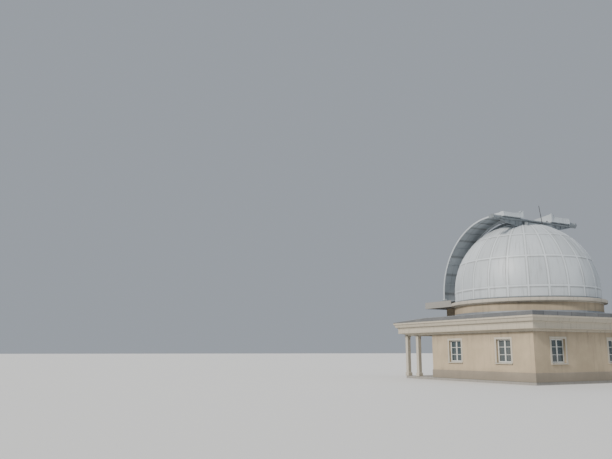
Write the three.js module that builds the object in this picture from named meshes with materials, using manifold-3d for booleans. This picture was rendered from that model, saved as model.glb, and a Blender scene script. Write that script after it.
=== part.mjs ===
// An observatory: a square one-storey block with a porch, a low round drum on its roof, and a turning
// dome whose slit is closed by two shutter leaves that slide apart. Millimetres, Z up. The origin is at
// ground level on the dome's axis. At rest the slit looks along -Y, over the porch.
import * as THREE from "three";
import { mergeVertices } from "three/addons/utils/BufferGeometryUtils.js";
import Module from "manifold-3d";

// Gaps
const GAP = 0.3; // between pieces that rest on each other
const RUN = 0.4; // under a wheel or a sliding shoe

// Round parts are drawn with a corner every FACET degrees.
const FACET = 5;
const FAR = 12000; // beyond every face, for the wedges and boxes that cut

// Ground floor: a square block with a porch in front, under one beam and cornice
const BLOCK = 3870; // half the width over the walls
const WALL = 350;
const FRONT_WALL = -3850; // outer face of the wall behind the porch
const BACK_WALL = 3870;
const PORCH_FRONT = -6470;
const FLOOR_TOP = 150;
const BEAM_FOOT = 2600;
const CORNICE_TOP = 3380;
const CORNICE_OUT = 530;
const ROOF_TOP = 3580;
const ROOF_EDGE = 3420; // at the porch's front edge
const HATCH = { x: [-500, 500], y: [-3000, -1400] };
const POST = 220;
const SIDE_POST = -5300;
const FRONT_POST = 1300;
const DOOR = { half: 700, top: 2400, thick: 60, setBack: 120, meeting: 2 };
const WINDOW = { away: 2150, sideAway: 1850, width: 1000, z: [1050, 2250], glass: 24, setBack: 140 };

// Drum on the block's roof
const DRUM_OUT = 4050;
const DRUM_IN = 3700;
const COPING_BASE = 4150;
const COPING_TOP = 4400;
const COPING_OUT = 4270;

// Slab that projects from the drum over the porch's roof, on two piers
const SLAB = { half: 3370, front: -5000, back: -1500, base: 4220, top: 4600 };
const PIER = { x: [2000, 2360], front: -4200, back: -3400 };

// Track under the dome, and the dome's base ring with its wheels
const TRACK = { inner: 3830, outer: 3890, top: 4440 };
const BASE_RING = { inner: 3800, z: [4500, 4650] };
const WHEEL = { radius: 45, width: 50, count: 12, sides: 20 };

// Dome
const CENTRE = 5010; // height of the sphere's centre
const DOME = 4000;
const SHELL = 60;
const SKIRT_FOOT = 4420;
const SLIT = 920; // half the clear width
const SLIT_END = 1420; // how far behind the axis the slit ends
const COAMING = { width: 80, inner: 3720, outer: 4050, foot: 4450, front: 3860 };
const SILL = { top: 4750, span: 30 };
const TRANSOM = { y: [1340, 1420], z: [8470, 8800] };

// Shutter leaves, shown parted. Each closes by 1057.5, which leaves 5 between them. A head at the upper
// end of each rides the cross rail.
const LEAF = { out: 4270, skin: 35, innerRib: 155, outerRib: 80, rib: 50, from: 1060, to: 2500 };
const LEAF_FOOT = 4710;
const LEAF_END = 930; // how far behind the axis the skin ends
const HEAD = { from: 1200, to: 2600, front: 500, crest: 1130, rear: 1270, top: 9380, bevel: 50 };
const HEAD_PLATE = { front: -120, frontZ: 9410, peak: 9540, thick: 60 };
const BRACE = { away: 10, reach: 300, y: [1210, 1250] };
const WELD = 20; // how far a welded piece reaches into the skin
const LOWER_RAIL = { half: 2650, y: [-4290, -4170], foot: 4630 };
const RAIL_ARM = { width: 80, outer: 2370, front: -4250, back: -3000, top: 4680 };
const CROSS_RAIL = { y: 1060, z: 8980, radius: 80, half: 3350, sides: 24 };
const RAIL_DRUM = { z: 9060, radius: 150, from: 2660, to: 3420, chamfer: 45 };
const RAIL_BRACKET = { y: [1040, 1080], tip: 2900, slope: 100, root: 1600, rootZ: 8520, deep: 200 };
const ROD = { x: -190, y: 1380, radius: 20, length: 1070, lean: 10, sides: 12 };
const SOCKET = { radius: 38, height: 60, sides: 16 };

const wasm = await Module();
wasm.setup();

// Turns a closed geometry into a solid, leaving out the collapsed triangles at a pole.
function solid(geometry) {
  const bare = geometry.clone();
  bare.deleteAttribute("normal");
  bare.deleteAttribute("uv");
  const merged = mergeVertices(bare, 1e-3);
  const kept = [];
  for (let i = 0; i < merged.index.count; i += 3) {
    const [a, b, c] = [0, 1, 2].map((k) => merged.index.getX(i + k));
    if (a !== b && b !== c && c !== a) kept.push(a, b, c);
  }
  return new wasm.Manifold(
    new wasm.Mesh({
      numProp: 3,
      vertProperties: merged.attributes.position.array,
      triVerts: new Uint32Array(kept),
    }),
  );
}

// Turns a solid back into a geometry.
function surface(made) {
  const mesh = made.getMesh();
  const geometry = new THREE.BufferGeometry();
  geometry.setAttribute("position", new THREE.BufferAttribute(mesh.vertProperties, 3));
  geometry.setIndex(new THREE.BufferAttribute(mesh.triVerts, 1));
  return geometry;
}

const outline = (points) => new THREE.Shape(points.map(([x, y]) => new THREE.Vector2(x, y)));

// A plan outline raised from z0 to z1.
function raised(points, z0, z1) {
  const geometry = new THREE.ExtrudeGeometry(outline(points), { depth: z1 - z0, bevelEnabled: false });
  return solid(geometry.translate(0, 0, z0));
}

// A side outline of (y, z) points run along X from x0 to x1.
function alongX(points, x0, x1) {
  const geometry = new THREE.ExtrudeGeometry(outline(points), { depth: x1 - x0, bevelEnabled: false });
  const turn = new THREE.Matrix4().makeBasis(
    new THREE.Vector3(0, 1, 0),
    new THREE.Vector3(0, 0, 1),
    new THREE.Vector3(1, 0, 0),
  );
  return solid(geometry.applyMatrix4(turn).translate(x0, 0, 0));
}

// A front outline of (x, z) points run along Y from y0 to y1.
function alongY(points, y0, y1) {
  const geometry = new THREE.ExtrudeGeometry(outline(points), { depth: y1 - y0, bevelEnabled: false });
  return solid(geometry.rotateX(Math.PI / 2).translate(0, y1, 0));
}

function box([x0, x1], [y0, y1], [z0, z1]) {
  const geometry = new THREE.BoxGeometry(x1 - x0, y1 - y0, z1 - z0);
  return solid(geometry.translate((x0 + x1) / 2, (y0 + y1) / 2, (z0 + z1) / 2));
}

// A point on a circle round the axis. Azimuth 0 is the front, -Y, and 90 is +X.
function around(radius, azimuth) {
  const a = THREE.MathUtils.degToRad(azimuth);
  return [radius * Math.sin(a), -radius * Math.cos(a)];
}

function steps(from, to) {
  const count = Math.ceil((to - from) / FACET);
  return Array.from({ length: count + 1 }, (_, i) => from + ((to - from) * i) / count);
}

// Part of a ring, between two radii, two azimuths and two heights.
function ringPart(inner, outer, from, to, z0, z1) {
  const shy = THREE.MathUtils.radToDeg(GAP / 2 / outer); // each end stops half a gap short
  const angles = steps(from, to);
  angles[0] += shy;
  angles[angles.length - 1] -= shy;
  const out = angles.map((a) => around(outer, a));
  const back = angles.map((a) => around(inner, a)).reverse();
  return raised([...out, ...back], z0, z1);
}

const disc = (radius, z0, z1) => raised(steps(0, 360 - FACET).map((a) => around(radius, a)), z0, z1);
const ring = (inner, outer, z0, z1) => disc(outer, z0, z1).subtract(disc(inner, z0 - 1, z1 + 1));

// An arc in a plane beside the slit, as (y, z) points: 0 degrees is at the front, 90 at the top.
function slitArc(radius, from, to) {
  return steps(from, to).map((a) => {
    const t = THREE.MathUtils.degToRad(a);
    return [-radius * Math.cos(t), CENTRE + radius * Math.sin(t)];
  });
}

// The angle at which such an arc reaches a given y behind the axis.
const reach = (radius, y) => THREE.MathUtils.radToDeg(Math.acos(-y / radius));

const painted = (color) => ({ color, roughness: 0.5, metalness: 0.3 });
const LOOKS = {
  masonry: { color: 0xcfc6b4, roughness: 0.9, metalness: 0 },
  trim: { color: 0xd9d3c6, roughness: 0.85, metalness: 0 },
  concrete: { color: 0xa9a69f, roughness: 0.9, metalness: 0 },
  roofing: { color: 0x6b6e70, roughness: 0.8, metalness: 0 },
  shell: painted(0xdfe2e2),
  shutter: painted(0xd4d8d9),
  frame: painted(0x9aa0a3),
  steel: { color: 0x8b9094, roughness: 0.35, metalness: 1 },
  glass: { color: 0x9fb4bd, roughness: 0.05, metalness: 0 },
  door: { color: 0x5a3d28, roughness: 0.55, metalness: 0 },
};

const observatory = new THREE.Group();
const building = new THREE.Group();
const dome = new THREE.Group();
observatory.add(building, dome);

function place(group, name, look, made) {
  const mesh = new THREE.Mesh(surface(made), new THREE.MeshStandardMaterial(LOOKS[look]));
  mesh.name = name;
  group.add(mesh);
  return mesh;
}

// Places a piece made on the right (+X) and its mirror image on the left.
function placePair(group, name, look, made) {
  place(group, `${name}_right`, look, made);
  const mirrored = surface(made).scale(-1, 1, 1);
  const index = mirrored.index.array;
  for (let i = 0; i < index.length; i += 3) [index[i], index[i + 1]] = [index[i + 1], index[i]];
  place(group, `${name}_left`, look, solid(mirrored));
}

// Floor of the block and the porch.
place(building, "floor_slab", "concrete", box([-BLOCK, BLOCK], [PORCH_FRONT, BACK_WALL], [0, FLOOR_TOP]));

// Walls, as far up as the beam. Between the side beams the front wall goes on to the roof.
const inside = BLOCK - WALL;
const wallZ = [FLOOR_TOP + GAP, BEAM_FOOT - GAP];
const frontWallY = [FRONT_WALL, FRONT_WALL + WALL];
const windowSpan = (middle) => [middle - WINDOW.width / 2, middle + WINDOW.width / 2];
const through = (low, high) => [low - 1, high + 1];
const frontWall = alongY(
  [
    [DOOR.half, wallZ[0]],
    [BLOCK, wallZ[0]],
    [BLOCK, wallZ[1]],
    [inside - GAP, wallZ[1]],
    [inside - GAP, CORNICE_TOP],
    [DOOR.half, CORNICE_TOP],
  ],
  ...frontWallY,
);
placePair(
  building,
  "wall_front",
  "masonry",
  frontWall.subtract(box(windowSpan(WINDOW.away), through(...frontWallY), WINDOW.z)),
);
place(
  building,
  "wall_over_door",
  "masonry",
  box([-DOOR.half + GAP, DOOR.half - GAP], frontWallY, [DOOR.top, CORNICE_TOP]),
);

const sideWindows = [-WINDOW.sideAway, WINDOW.sideAway];
let sideWall = box([inside, BLOCK], [frontWallY[1] + GAP, BACK_WALL - WALL - GAP], wallZ);
for (const y of sideWindows) {
  sideWall = sideWall.subtract(box(through(inside, BLOCK), windowSpan(y), WINDOW.z));
}
placePair(building, "wall_side", "masonry", sideWall);

const backWallY = [BACK_WALL - WALL, BACK_WALL];
let backWall = box([-BLOCK, BLOCK], backWallY, wallZ);
for (const x of [-WINDOW.away, WINDOW.away]) {
  backWall = backWall.subtract(box(windowSpan(x), through(...backWallY), WINDOW.z));
}
place(building, "wall_back", "masonry", backWall);

// Window panes and the two leaves of the entrance door.
const paneZ = [WINDOW.z[0] + GAP, WINDOW.z[1] - GAP];
const paneSpan = (middle) => [windowSpan(middle)[0] + GAP, windowSpan(middle)[1] - GAP];
const frontPaneY = [FRONT_WALL + WINDOW.setBack, FRONT_WALL + WINDOW.setBack + WINDOW.glass];
const backPaneY = [BACK_WALL - WINDOW.setBack - WINDOW.glass, BACK_WALL - WINDOW.setBack];
const sidePaneX = [BLOCK - WINDOW.setBack - WINDOW.glass, BLOCK - WINDOW.setBack];
placePair(building, "window_pane_front", "glass", box(paneSpan(WINDOW.away), frontPaneY, paneZ));
placePair(building, "window_pane_side_front", "glass", box(sidePaneX, paneSpan(sideWindows[0]), paneZ));
placePair(building, "window_pane_side_back", "glass", box(sidePaneX, paneSpan(sideWindows[1]), paneZ));
placePair(building, "window_pane_back", "glass", box(paneSpan(WINDOW.away), backPaneY, paneZ));
const doorX = [DOOR.meeting, DOOR.half - GAP];
const doorY = [FRONT_WALL + DOOR.setBack, FRONT_WALL + DOOR.setBack + DOOR.thick];
placePair(building, "entrance_door", "door", box(doorX, doorY, [wallZ[0], DOOR.top - GAP]));

// Posts of the porch: at the corners, along the sides, and beside the way in.
const POSTS = {
  porch_post_corner: [BLOCK - POST / 2, PORCH_FRONT + POST / 2],
  porch_post_side: [BLOCK - POST / 2, SIDE_POST],
  porch_post_front: [FRONT_POST, PORCH_FRONT + POST / 2],
};
for (const [name, [x, y]] of Object.entries(POSTS)) {
  const r = POST / 2;
  placePair(building, name, "trim", box([x - r, x + r], [y - r, y + r], wallZ));
}

// Beam and cornice in one moulded profile, as (distance out from the wall's face, height) points.
const ENTABLATURE = [
  [-WALL, BEAM_FOOT],
  [0, BEAM_FOOT],
  [30, 2640],
  [320, 2760],
  [310, 3010],
  [350, 3060],
  [440, 3150],
  [500, 3270],
  [CORNICE_OUT, CORNICE_TOP],
  [-WALL, CORNICE_TOP],
];
const frontMiddle = PORCH_FRONT + BLOCK;
// The mitred ends lie on diagonals through the outer corners. This is the wedge between the two front
// ones, with its tip at the height of the given y.
const mitreWedge = (tip) =>
  raised(
    [
      [0, tip],
      [FAR, tip - FAR],
      [-FAR, tip - FAR],
    ],
    0,
    FAR,
  );
// The same wedge turned half round, for the back.
const backMitre = (tip) => solid(surface(mitreWedge(-tip)).rotateZ(Math.PI));
const frontProfile = ENTABLATURE.map(([out, z]) => [PORCH_FRONT - out, z]);
const backProfile = ENTABLATURE.map(([out, z]) => [BACK_WALL + out, z]);
const sideProfile = ENTABLATURE.map(([out, z]) => [BLOCK + out, z]);
const backMiddle = BACK_WALL - BLOCK;
place(
  building,
  "entablature_front",
  "trim",
  alongX(frontProfile, -FAR, FAR).intersect(mitreWedge(frontMiddle - GAP)),
);
place(
  building,
  "entablature_back",
  "trim",
  alongX(backProfile, -FAR, FAR).intersect(backMitre(backMiddle + GAP)),
);
placePair(
  building,
  "entablature_side",
  "trim",
  alongY(sideProfile, -FAR, FAR).subtract(mitreWedge(frontMiddle)).subtract(backMitre(backMiddle)),
);

// Roof slab, level over the block and falling over the porch. Inside the drum it is the observing floor.
const roofZ = CORNICE_TOP + GAP;
const roofY = [PORCH_FRONT - CORNICE_OUT, BACK_WALL + CORNICE_OUT];
place(
  building,
  "roof_slab",
  "roofing",
  alongX(
    [
      [roofY[0], roofZ],
      [roofY[1], roofZ],
      [roofY[1], ROOF_TOP],
      [FRONT_WALL, ROOF_TOP],
      [roofY[0], ROOF_EDGE],
    ],
    -BLOCK - CORNICE_OUT,
    BLOCK + CORNICE_OUT,
  ).subtract(box(HATCH.x, HATCH.y, [CORNICE_TOP, ROOF_TOP + 1])),
);

// Drum in four quarters, its coping, and the track that the dome runs on.
const drumZ = [ROOF_TOP + GAP, COPING_BASE - GAP];
placePair(building, "drum_wall_front", "masonry", ringPart(DRUM_IN, DRUM_OUT, 0, 90, ...drumZ));
placePair(building, "drum_wall_back", "masonry", ringPart(DRUM_IN, DRUM_OUT, 90, 180, ...drumZ));
place(building, "drum_coping", "trim", ring(DRUM_IN, COPING_OUT, COPING_BASE, COPING_TOP));
place(building, "dome_track", "steel", ring(TRACK.inner, TRACK.outer, COPING_TOP + GAP, TRACK.top));

// Projecting slab on its piers. Both are cut where the drum and its coping stand.
const DRUM_CLEAR = disc(DRUM_OUT + GAP, 0, COPING_BASE);
const COPING_CLEAR = disc(COPING_OUT + GAP, COPING_BASE - GAP, SLAB.top + 1);
const porchFall = (ROOF_TOP - ROOF_EDGE) / (FRONT_WALL - roofY[0]);
placePair(
  building,
  "slab_pier",
  "masonry",
  alongX(
    [
      [PIER.front, ROOF_TOP + GAP - (FRONT_WALL - PIER.front) * porchFall],
      [FRONT_WALL, ROOF_TOP + GAP],
      [PIER.back, ROOF_TOP + GAP],
      [PIER.back, SLAB.base - GAP],
      [PIER.front, SLAB.base - GAP],
    ],
    ...PIER.x,
  )
    .subtract(DRUM_CLEAR)
    .subtract(COPING_CLEAR),
);
place(
  building,
  "projecting_slab",
  "concrete",
  box([-SLAB.half, SLAB.half], [SLAB.front, SLAB.back], [SLAB.base, SLAB.top]).subtract(COPING_CLEAR),
);

// Dome shell: a hemisphere and skirt turned about the axis, cut for the slit and into gores.
const quarter = (radius, from, to) =>
  steps(from, to).map((a) => {
    const t = THREE.MathUtils.degToRad(a);
    return new THREE.Vector2(radius * Math.cos(t), CENTRE + radius * Math.sin(t));
  });
const shellProfile = [
  new THREE.Vector2(0, CENTRE + DOME - SHELL),
  ...quarter(DOME - SHELL, 0, 90 - FACET).reverse(),
  new THREE.Vector2(DOME - SHELL, SKIRT_FOOT),
  new THREE.Vector2(DOME, SKIRT_FOOT),
  ...quarter(DOME, 0, 90 - FACET),
  new THREE.Vector2(0, CENTRE + DOME),
];
const wholeShell = solid(new THREE.LatheGeometry(shellProfile, 360 / FACET).rotateX(Math.PI / 2));
const slitSide = SLIT + COAMING.width + GAP;
const slitCut = box([-slitSide, slitSide], [-FAR, SLIT_END + GAP], [0, FAR]);
const slitShell = wholeShell.subtract(slitCut);

// The part of the shell between two azimuths.
function gore(from, to) {
  const shy = THREE.MathUtils.radToDeg(GAP / DOME);
  const rim = [from + shy, (from + to) / 2, to - shy].map((azimuth) => around(FAR, azimuth));
  return slitShell.intersect(raised([[0, 0], ...rim], 0, FAR));
}

placePair(dome, "shell_front", "shell", gore(0, 75));
placePair(dome, "shell_side", "shell", gore(75, 130));
placePair(dome, "shell_back", "shell", gore(130, 180));

// Sill under the slit, between the coamings.
place(
  dome,
  "slit_sill",
  "shell",
  ringPart(DOME - SHELL, DOME, -SILL.span, SILL.span, SKIRT_FOOT, SILL.top).intersect(
    box([-SLIT + GAP, SLIT - GAP], [-FAR, 0], [0, FAR]),
  ),
);

// Base ring with its wheels, half sunk in it.
let baseRing = ring(BASE_RING.inner, DOME - SHELL - GAP, ...BASE_RING.z);
const wheelMiddle = (TRACK.inner + TRACK.outer) / 2;
for (let i = 0; i < WHEEL.count; i++) {
  const wheel = new THREE.CylinderGeometry(WHEEL.radius, WHEEL.radius, WHEEL.width, WHEEL.sides);
  wheel.translate(0, -wheelMiddle, TRACK.top + RUN + WHEEL.radius);
  baseRing = baseRing.add(solid(wheel.rotateZ((i * 2 * Math.PI) / WHEEL.count)));
}
place(dome, "base_ring", "steel", baseRing);

// Cross rail behind the top of the dome, with a drum at each end and a tapering bracket under it.
const { y: railY, z: railZ, radius: railRadius, sides: railSides } = CROSS_RAIL;
const alongRail = (geometry, z = railZ) => solid(geometry.rotateZ(-Math.PI / 2).translate(0, railY, z));
const railRound = (radius) => new THREE.CylinderGeometry(radius, radius, 2 * CROSS_RAIL.half, railSides);
let crossRail = alongRail(railRound(railRadius));
const railClear = alongRail(railRound(railRadius + GAP));
const { radius: drumRadius, from: drumFrom, to: drumTo, chamfer } = RAIL_DRUM;
for (const side of [1, -1]) {
  const profile = [
    [0, drumFrom],
    [drumRadius, drumFrom],
    [drumRadius, drumTo - chamfer],
    [drumRadius - chamfer, drumTo],
    [0, drumTo],
  ].map(([r, x]) => new THREE.Vector2(r, side * x));
  const lathe = new THREE.LatheGeometry(side > 0 ? profile : profile.reverse(), railSides);
  crossRail = crossRail.add(alongRail(lathe, RAIL_DRUM.z));
}
const shellClear = solid(
  new THREE.SphereGeometry(DOME + GAP, 360 / FACET, 180 / FACET)
    .rotateX(Math.PI / 2)
    .translate(0, 0, CENTRE),
);
const railBrackets = [1, -1].map((side) => {
  const points = [
    [slitSide, RAIL_BRACKET.rootZ - RAIL_BRACKET.deep],
    [RAIL_BRACKET.root, RAIL_BRACKET.rootZ],
    [RAIL_BRACKET.tip, RAIL_DRUM.z - drumRadius],
    [RAIL_BRACKET.tip - RAIL_BRACKET.slope, railZ],
    [slitSide, railZ],
  ];
  return alongY(points.map(([x, z]) => [side * x, z]), ...RAIL_BRACKET.y).subtract(shellClear);
});
place(dome, "cross_rail", "frame", crossRail.add(railBrackets[0]).add(railBrackets[1]));

// Coamings: the raised edges of the slit, from the base ring over the top to the rear transom.
const ringTop = BASE_RING.z[1] + GAP;
const coamingProfile = [
  [-COAMING.outer, COAMING.foot],
  ...slitArc(COAMING.outer, 0, reach(COAMING.outer, SLIT_END)),
  ...slitArc(COAMING.inner, 0, reach(COAMING.inner, SLIT_END)).reverse(),
  [-COAMING.inner, ringTop],
  [-COAMING.front, ringTop],
  [-COAMING.front, COAMING.foot],
];
placePair(dome, "coaming", "frame", alongX(coamingProfile, SLIT, SLIT + COAMING.width).subtract(railClear));
place(dome, "rear_transom", "frame", box([-SLIT + GAP, SLIT - GAP], TRANSOM.y, TRANSOM.z));

// Lower rail across the slit's foot, held off the coamings and the skirt by arms.
const skirtClear = disc(DOME + GAP, 0, CENTRE);
let lowerRail = box([-LOWER_RAIL.half, LOWER_RAIL.half], LOWER_RAIL.y, [LOWER_RAIL.foot, LEAF_FOOT - RUN]);
const ARMS = [
  { from: SLIT, back: -COAMING.outer - GAP },
  { from: RAIL_ARM.outer, back: RAIL_ARM.back },
];
for (const { from, back } of ARMS) {
  for (const x of [from, -from - RAIL_ARM.width]) {
    const arm = box([x, x + RAIL_ARM.width], [RAIL_ARM.front, back], [LOWER_RAIL.foot, RAIL_ARM.top]);
    lowerRail = lowerRail.add(arm.subtract(skirtClear));
  }
}
place(dome, "lower_rail", "frame", lowerRail);

// Shutter leaves: a barrel skin with a rib along each edge, a foot that slides on the lower rail, and a
// head that slides on the cross rail, with a pointed plate and a brace at its inner end.
const leafBand = (outer, inner) => [
  [-outer, LEAF_FOOT],
  ...slitArc(outer, 0, reach(outer, LEAF_END)),
  ...slitArc(inner, 0, reach(inner, LEAF_END)).reverse(),
  [-inner, LEAF_FOOT],
];
const headFoot = railZ + railRadius + RUN;
const skinInner = LEAF.out - LEAF.skin;
const skinTop = (y) => CENTRE + Math.sqrt(LEAF.out ** 2 - y ** 2);
const headRoot = [
  [HEAD.rear, headFoot],
  [LEAF_END + LEAF.skin, headFoot],
  [LEAF_END - LEAF.skin, skinTop(LEAF_END - LEAF.skin) - WELD],
];
const footPlate = box(
  [LEAF.from, LEAF.to],
  [-LEAF.out, -LEAF.out + LEAF.outerRib],
  [LEAF_FOOT, LEAF_FOOT + LEAF.rib],
);
let leaf = alongX(leafBand(LEAF.out, skinInner), LEAF.from, LEAF.to).add(footPlate);
for (const [x, depth] of [[LEAF.from, LEAF.innerRib], [LEAF.to - LEAF.rib, LEAF.outerRib]]) {
  leaf = leaf.add(alongX(leafBand(skinInner + 1, LEAF.out - depth), x, x + LEAF.rib));
}
const headBox = [
  ...headRoot,
  [HEAD.front, skinTop(HEAD.front) - WELD],
  [HEAD.front, skinTop(HEAD.front)],
  [HEAD.crest, HEAD.top],
  [HEAD.rear - HEAD.bevel, HEAD.top],
];
const headPlate = [
  ...headRoot,
  [HEAD_PLATE.front, skinTop(HEAD_PLATE.front) - WELD],
  [HEAD_PLATE.front, HEAD_PLATE.frontZ],
  [HEAD.rear, HEAD_PLATE.peak],
];
const braceOutline = [
  [HEAD.from + BRACE.away, HEAD.top - WELD],
  [HEAD.from + BRACE.reach, HEAD.top - WELD],
  [HEAD.from + HEAD_PLATE.thick, HEAD_PLATE.peak - BRACE.away],
  [HEAD.from + BRACE.away, HEAD_PLATE.peak - BRACE.away],
];
leaf = leaf
  .add(alongX(headBox, HEAD.from, HEAD.to))
  .add(alongX(headPlate, HEAD.from, HEAD.from + HEAD_PLATE.thick))
  .add(alongY(braceOutline, ...BRACE.y));
placePair(dome, "shutter_leaf", "shutter", leaf);

// Lightning rod, leaning in its socket on the rear transom.
const rodFoot = TRANSOM.z[1] + GAP;
const rod = new THREE.CylinderGeometry(ROD.radius, ROD.radius, ROD.length, ROD.sides);
rod.translate(0, ROD.length / 2, 0).rotateX(Math.PI / 2).rotateY(THREE.MathUtils.degToRad(ROD.lean));
rod.translate(ROD.x, ROD.y, rodFoot + SOCKET.height / 2);
const socket = new THREE.CylinderGeometry(SOCKET.radius, SOCKET.radius, SOCKET.height, SOCKET.sides);
socket.rotateX(Math.PI / 2).translate(ROD.x, ROD.y, rodFoot + SOCKET.height / 2);
place(dome, "lightning_rod", "steel", solid(rod).add(solid(socket)));

export default observatory;
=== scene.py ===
# %% [markdown]
# # An observatory dome on a small building
#
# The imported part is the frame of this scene: plain solids with the right shapes, sizes and joints. This
# lesson makes its curved pieces smooth, adds the parts that are too fine for solids, and builds a finish
# for every surface. Lengths are in metres, the ground is at 0, the dome turns about the Z axis, and its
# slit looks towards -Y.

# %% Load the frame
import math

import bpy
import numpy as np
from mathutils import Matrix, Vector


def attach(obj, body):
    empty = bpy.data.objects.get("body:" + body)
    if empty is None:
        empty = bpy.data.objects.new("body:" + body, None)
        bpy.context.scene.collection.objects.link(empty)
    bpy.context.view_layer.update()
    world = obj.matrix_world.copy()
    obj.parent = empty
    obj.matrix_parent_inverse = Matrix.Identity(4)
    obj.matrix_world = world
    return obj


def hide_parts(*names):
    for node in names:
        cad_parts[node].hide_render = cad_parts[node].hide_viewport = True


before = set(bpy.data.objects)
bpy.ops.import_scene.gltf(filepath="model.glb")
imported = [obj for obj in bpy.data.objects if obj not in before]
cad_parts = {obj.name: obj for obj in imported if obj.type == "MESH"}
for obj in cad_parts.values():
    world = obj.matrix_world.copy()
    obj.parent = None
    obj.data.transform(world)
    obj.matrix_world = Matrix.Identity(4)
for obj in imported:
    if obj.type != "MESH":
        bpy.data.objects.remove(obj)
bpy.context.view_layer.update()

# %% [markdown]
# ## Camera and light
#
# The camera stands where the picture was taken: behind the building and to its +X side, at eye height,
# tilted up by eleven degrees. A look-at constraint would aim it as well, but the photograph gives a heading
# and a pitch, so the aim is worked out from those. The light is soft and plain, so that the finishes show.

# %% Camera
EYE = Vector((28.46, 26.32, 1.6))
HEADING = Vector((-0.4697, -0.8826, 0.0)).normalized()
PITCH = math.radians(11.0035)


def new_object(name, data):
    """An object that shows the data, linked to the scene."""
    made = bpy.data.objects.new(name, data)
    bpy.context.scene.collection.objects.link(made)
    return made


lens = bpy.data.cameras.new("photo_camera")
lens.lens = 37.06
lens.sensor_width = 36.0
lens.clip_end = 2000.0
camera = new_object("photo_camera", lens)
gaze = HEADING * math.cos(PITCH) + Vector((0.0, 0.0, math.sin(PITCH)))
camera.location = EYE
camera.rotation_euler = gaze.to_track_quat("-Z", "Y").to_euler()
bpy.context.scene.camera = camera
print("camera looks along", tuple(round(part, 3) for part in gaze))

# %% Sky and lamps
world = bpy.data.worlds.new("studio")
world.use_nodes = True
sky = world.node_tree.nodes["Background"]
sky.inputs["Color"].default_value = (0.78, 0.85, 0.95, 1.0)
sky.inputs["Strength"].default_value = 0.46
bpy.context.scene.world = world


def soft_sun(name, towards, strength, spread, tint=(1.0, 1.0, 1.0)):
    """A sun whose light travels along the vector towards. Its spread in degrees softens the shadows."""
    lamp = bpy.data.lights.new(name, "SUN")
    lamp.color = tint
    lamp.energy = strength
    lamp.angle = math.radians(spread)
    turn = Vector(towards).to_track_quat("-Z", "Y")
    new_object(name, lamp).rotation_euler = turn.to_euler()


soft_sun("key", (-0.95, -0.18, -0.7), 4.2, 12.0, (1.0, 0.95, 0.88))
soft_sun("fill", (0.35, -0.8, -0.5), 0.6, 60.0, (0.88, 0.94, 1.0))
soft_sun("front", (0.5, 0.9, -0.6), 1.0, 60.0)

# %% [markdown]
# ## Shader maths as Python
#
# A material is a graph of nodes, and wiring one by hand takes many lines. Here a small class stands for a
# socket and gives it Python's operators, so that `1 - mask` adds the Math node it needs. A second class is
# the material in the making, so the rest of the lesson only says what a finish looks like.

# %% A socket with operators


def operator(operation, swapped=False):
    """A method that adds the Math node of an operation on two values, or on the two swapped."""
    def add_node(self, other=0.0):
        first, second = (other, self) if swapped else (self, other)
        return self.look.maths(operation, first, second)
    return add_node


class Value:
    """A node's output, with the operators that the finishes use."""

    __add__ = __radd__ = operator("ADD")
    __mul__ = __rmul__ = operator("MULTIPLY")
    __sub__ = operator("SUBTRACT")
    __rsub__ = operator("SUBTRACT", swapped=True)
    __truediv__ = operator("DIVIDE")
    __pow__ = operator("POWER")
    __abs__ = operator("ABSOLUTE")

    def __init__(self, look, socket):
        self.look = look
        self.socket = socket


# %% A material in the making


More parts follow.
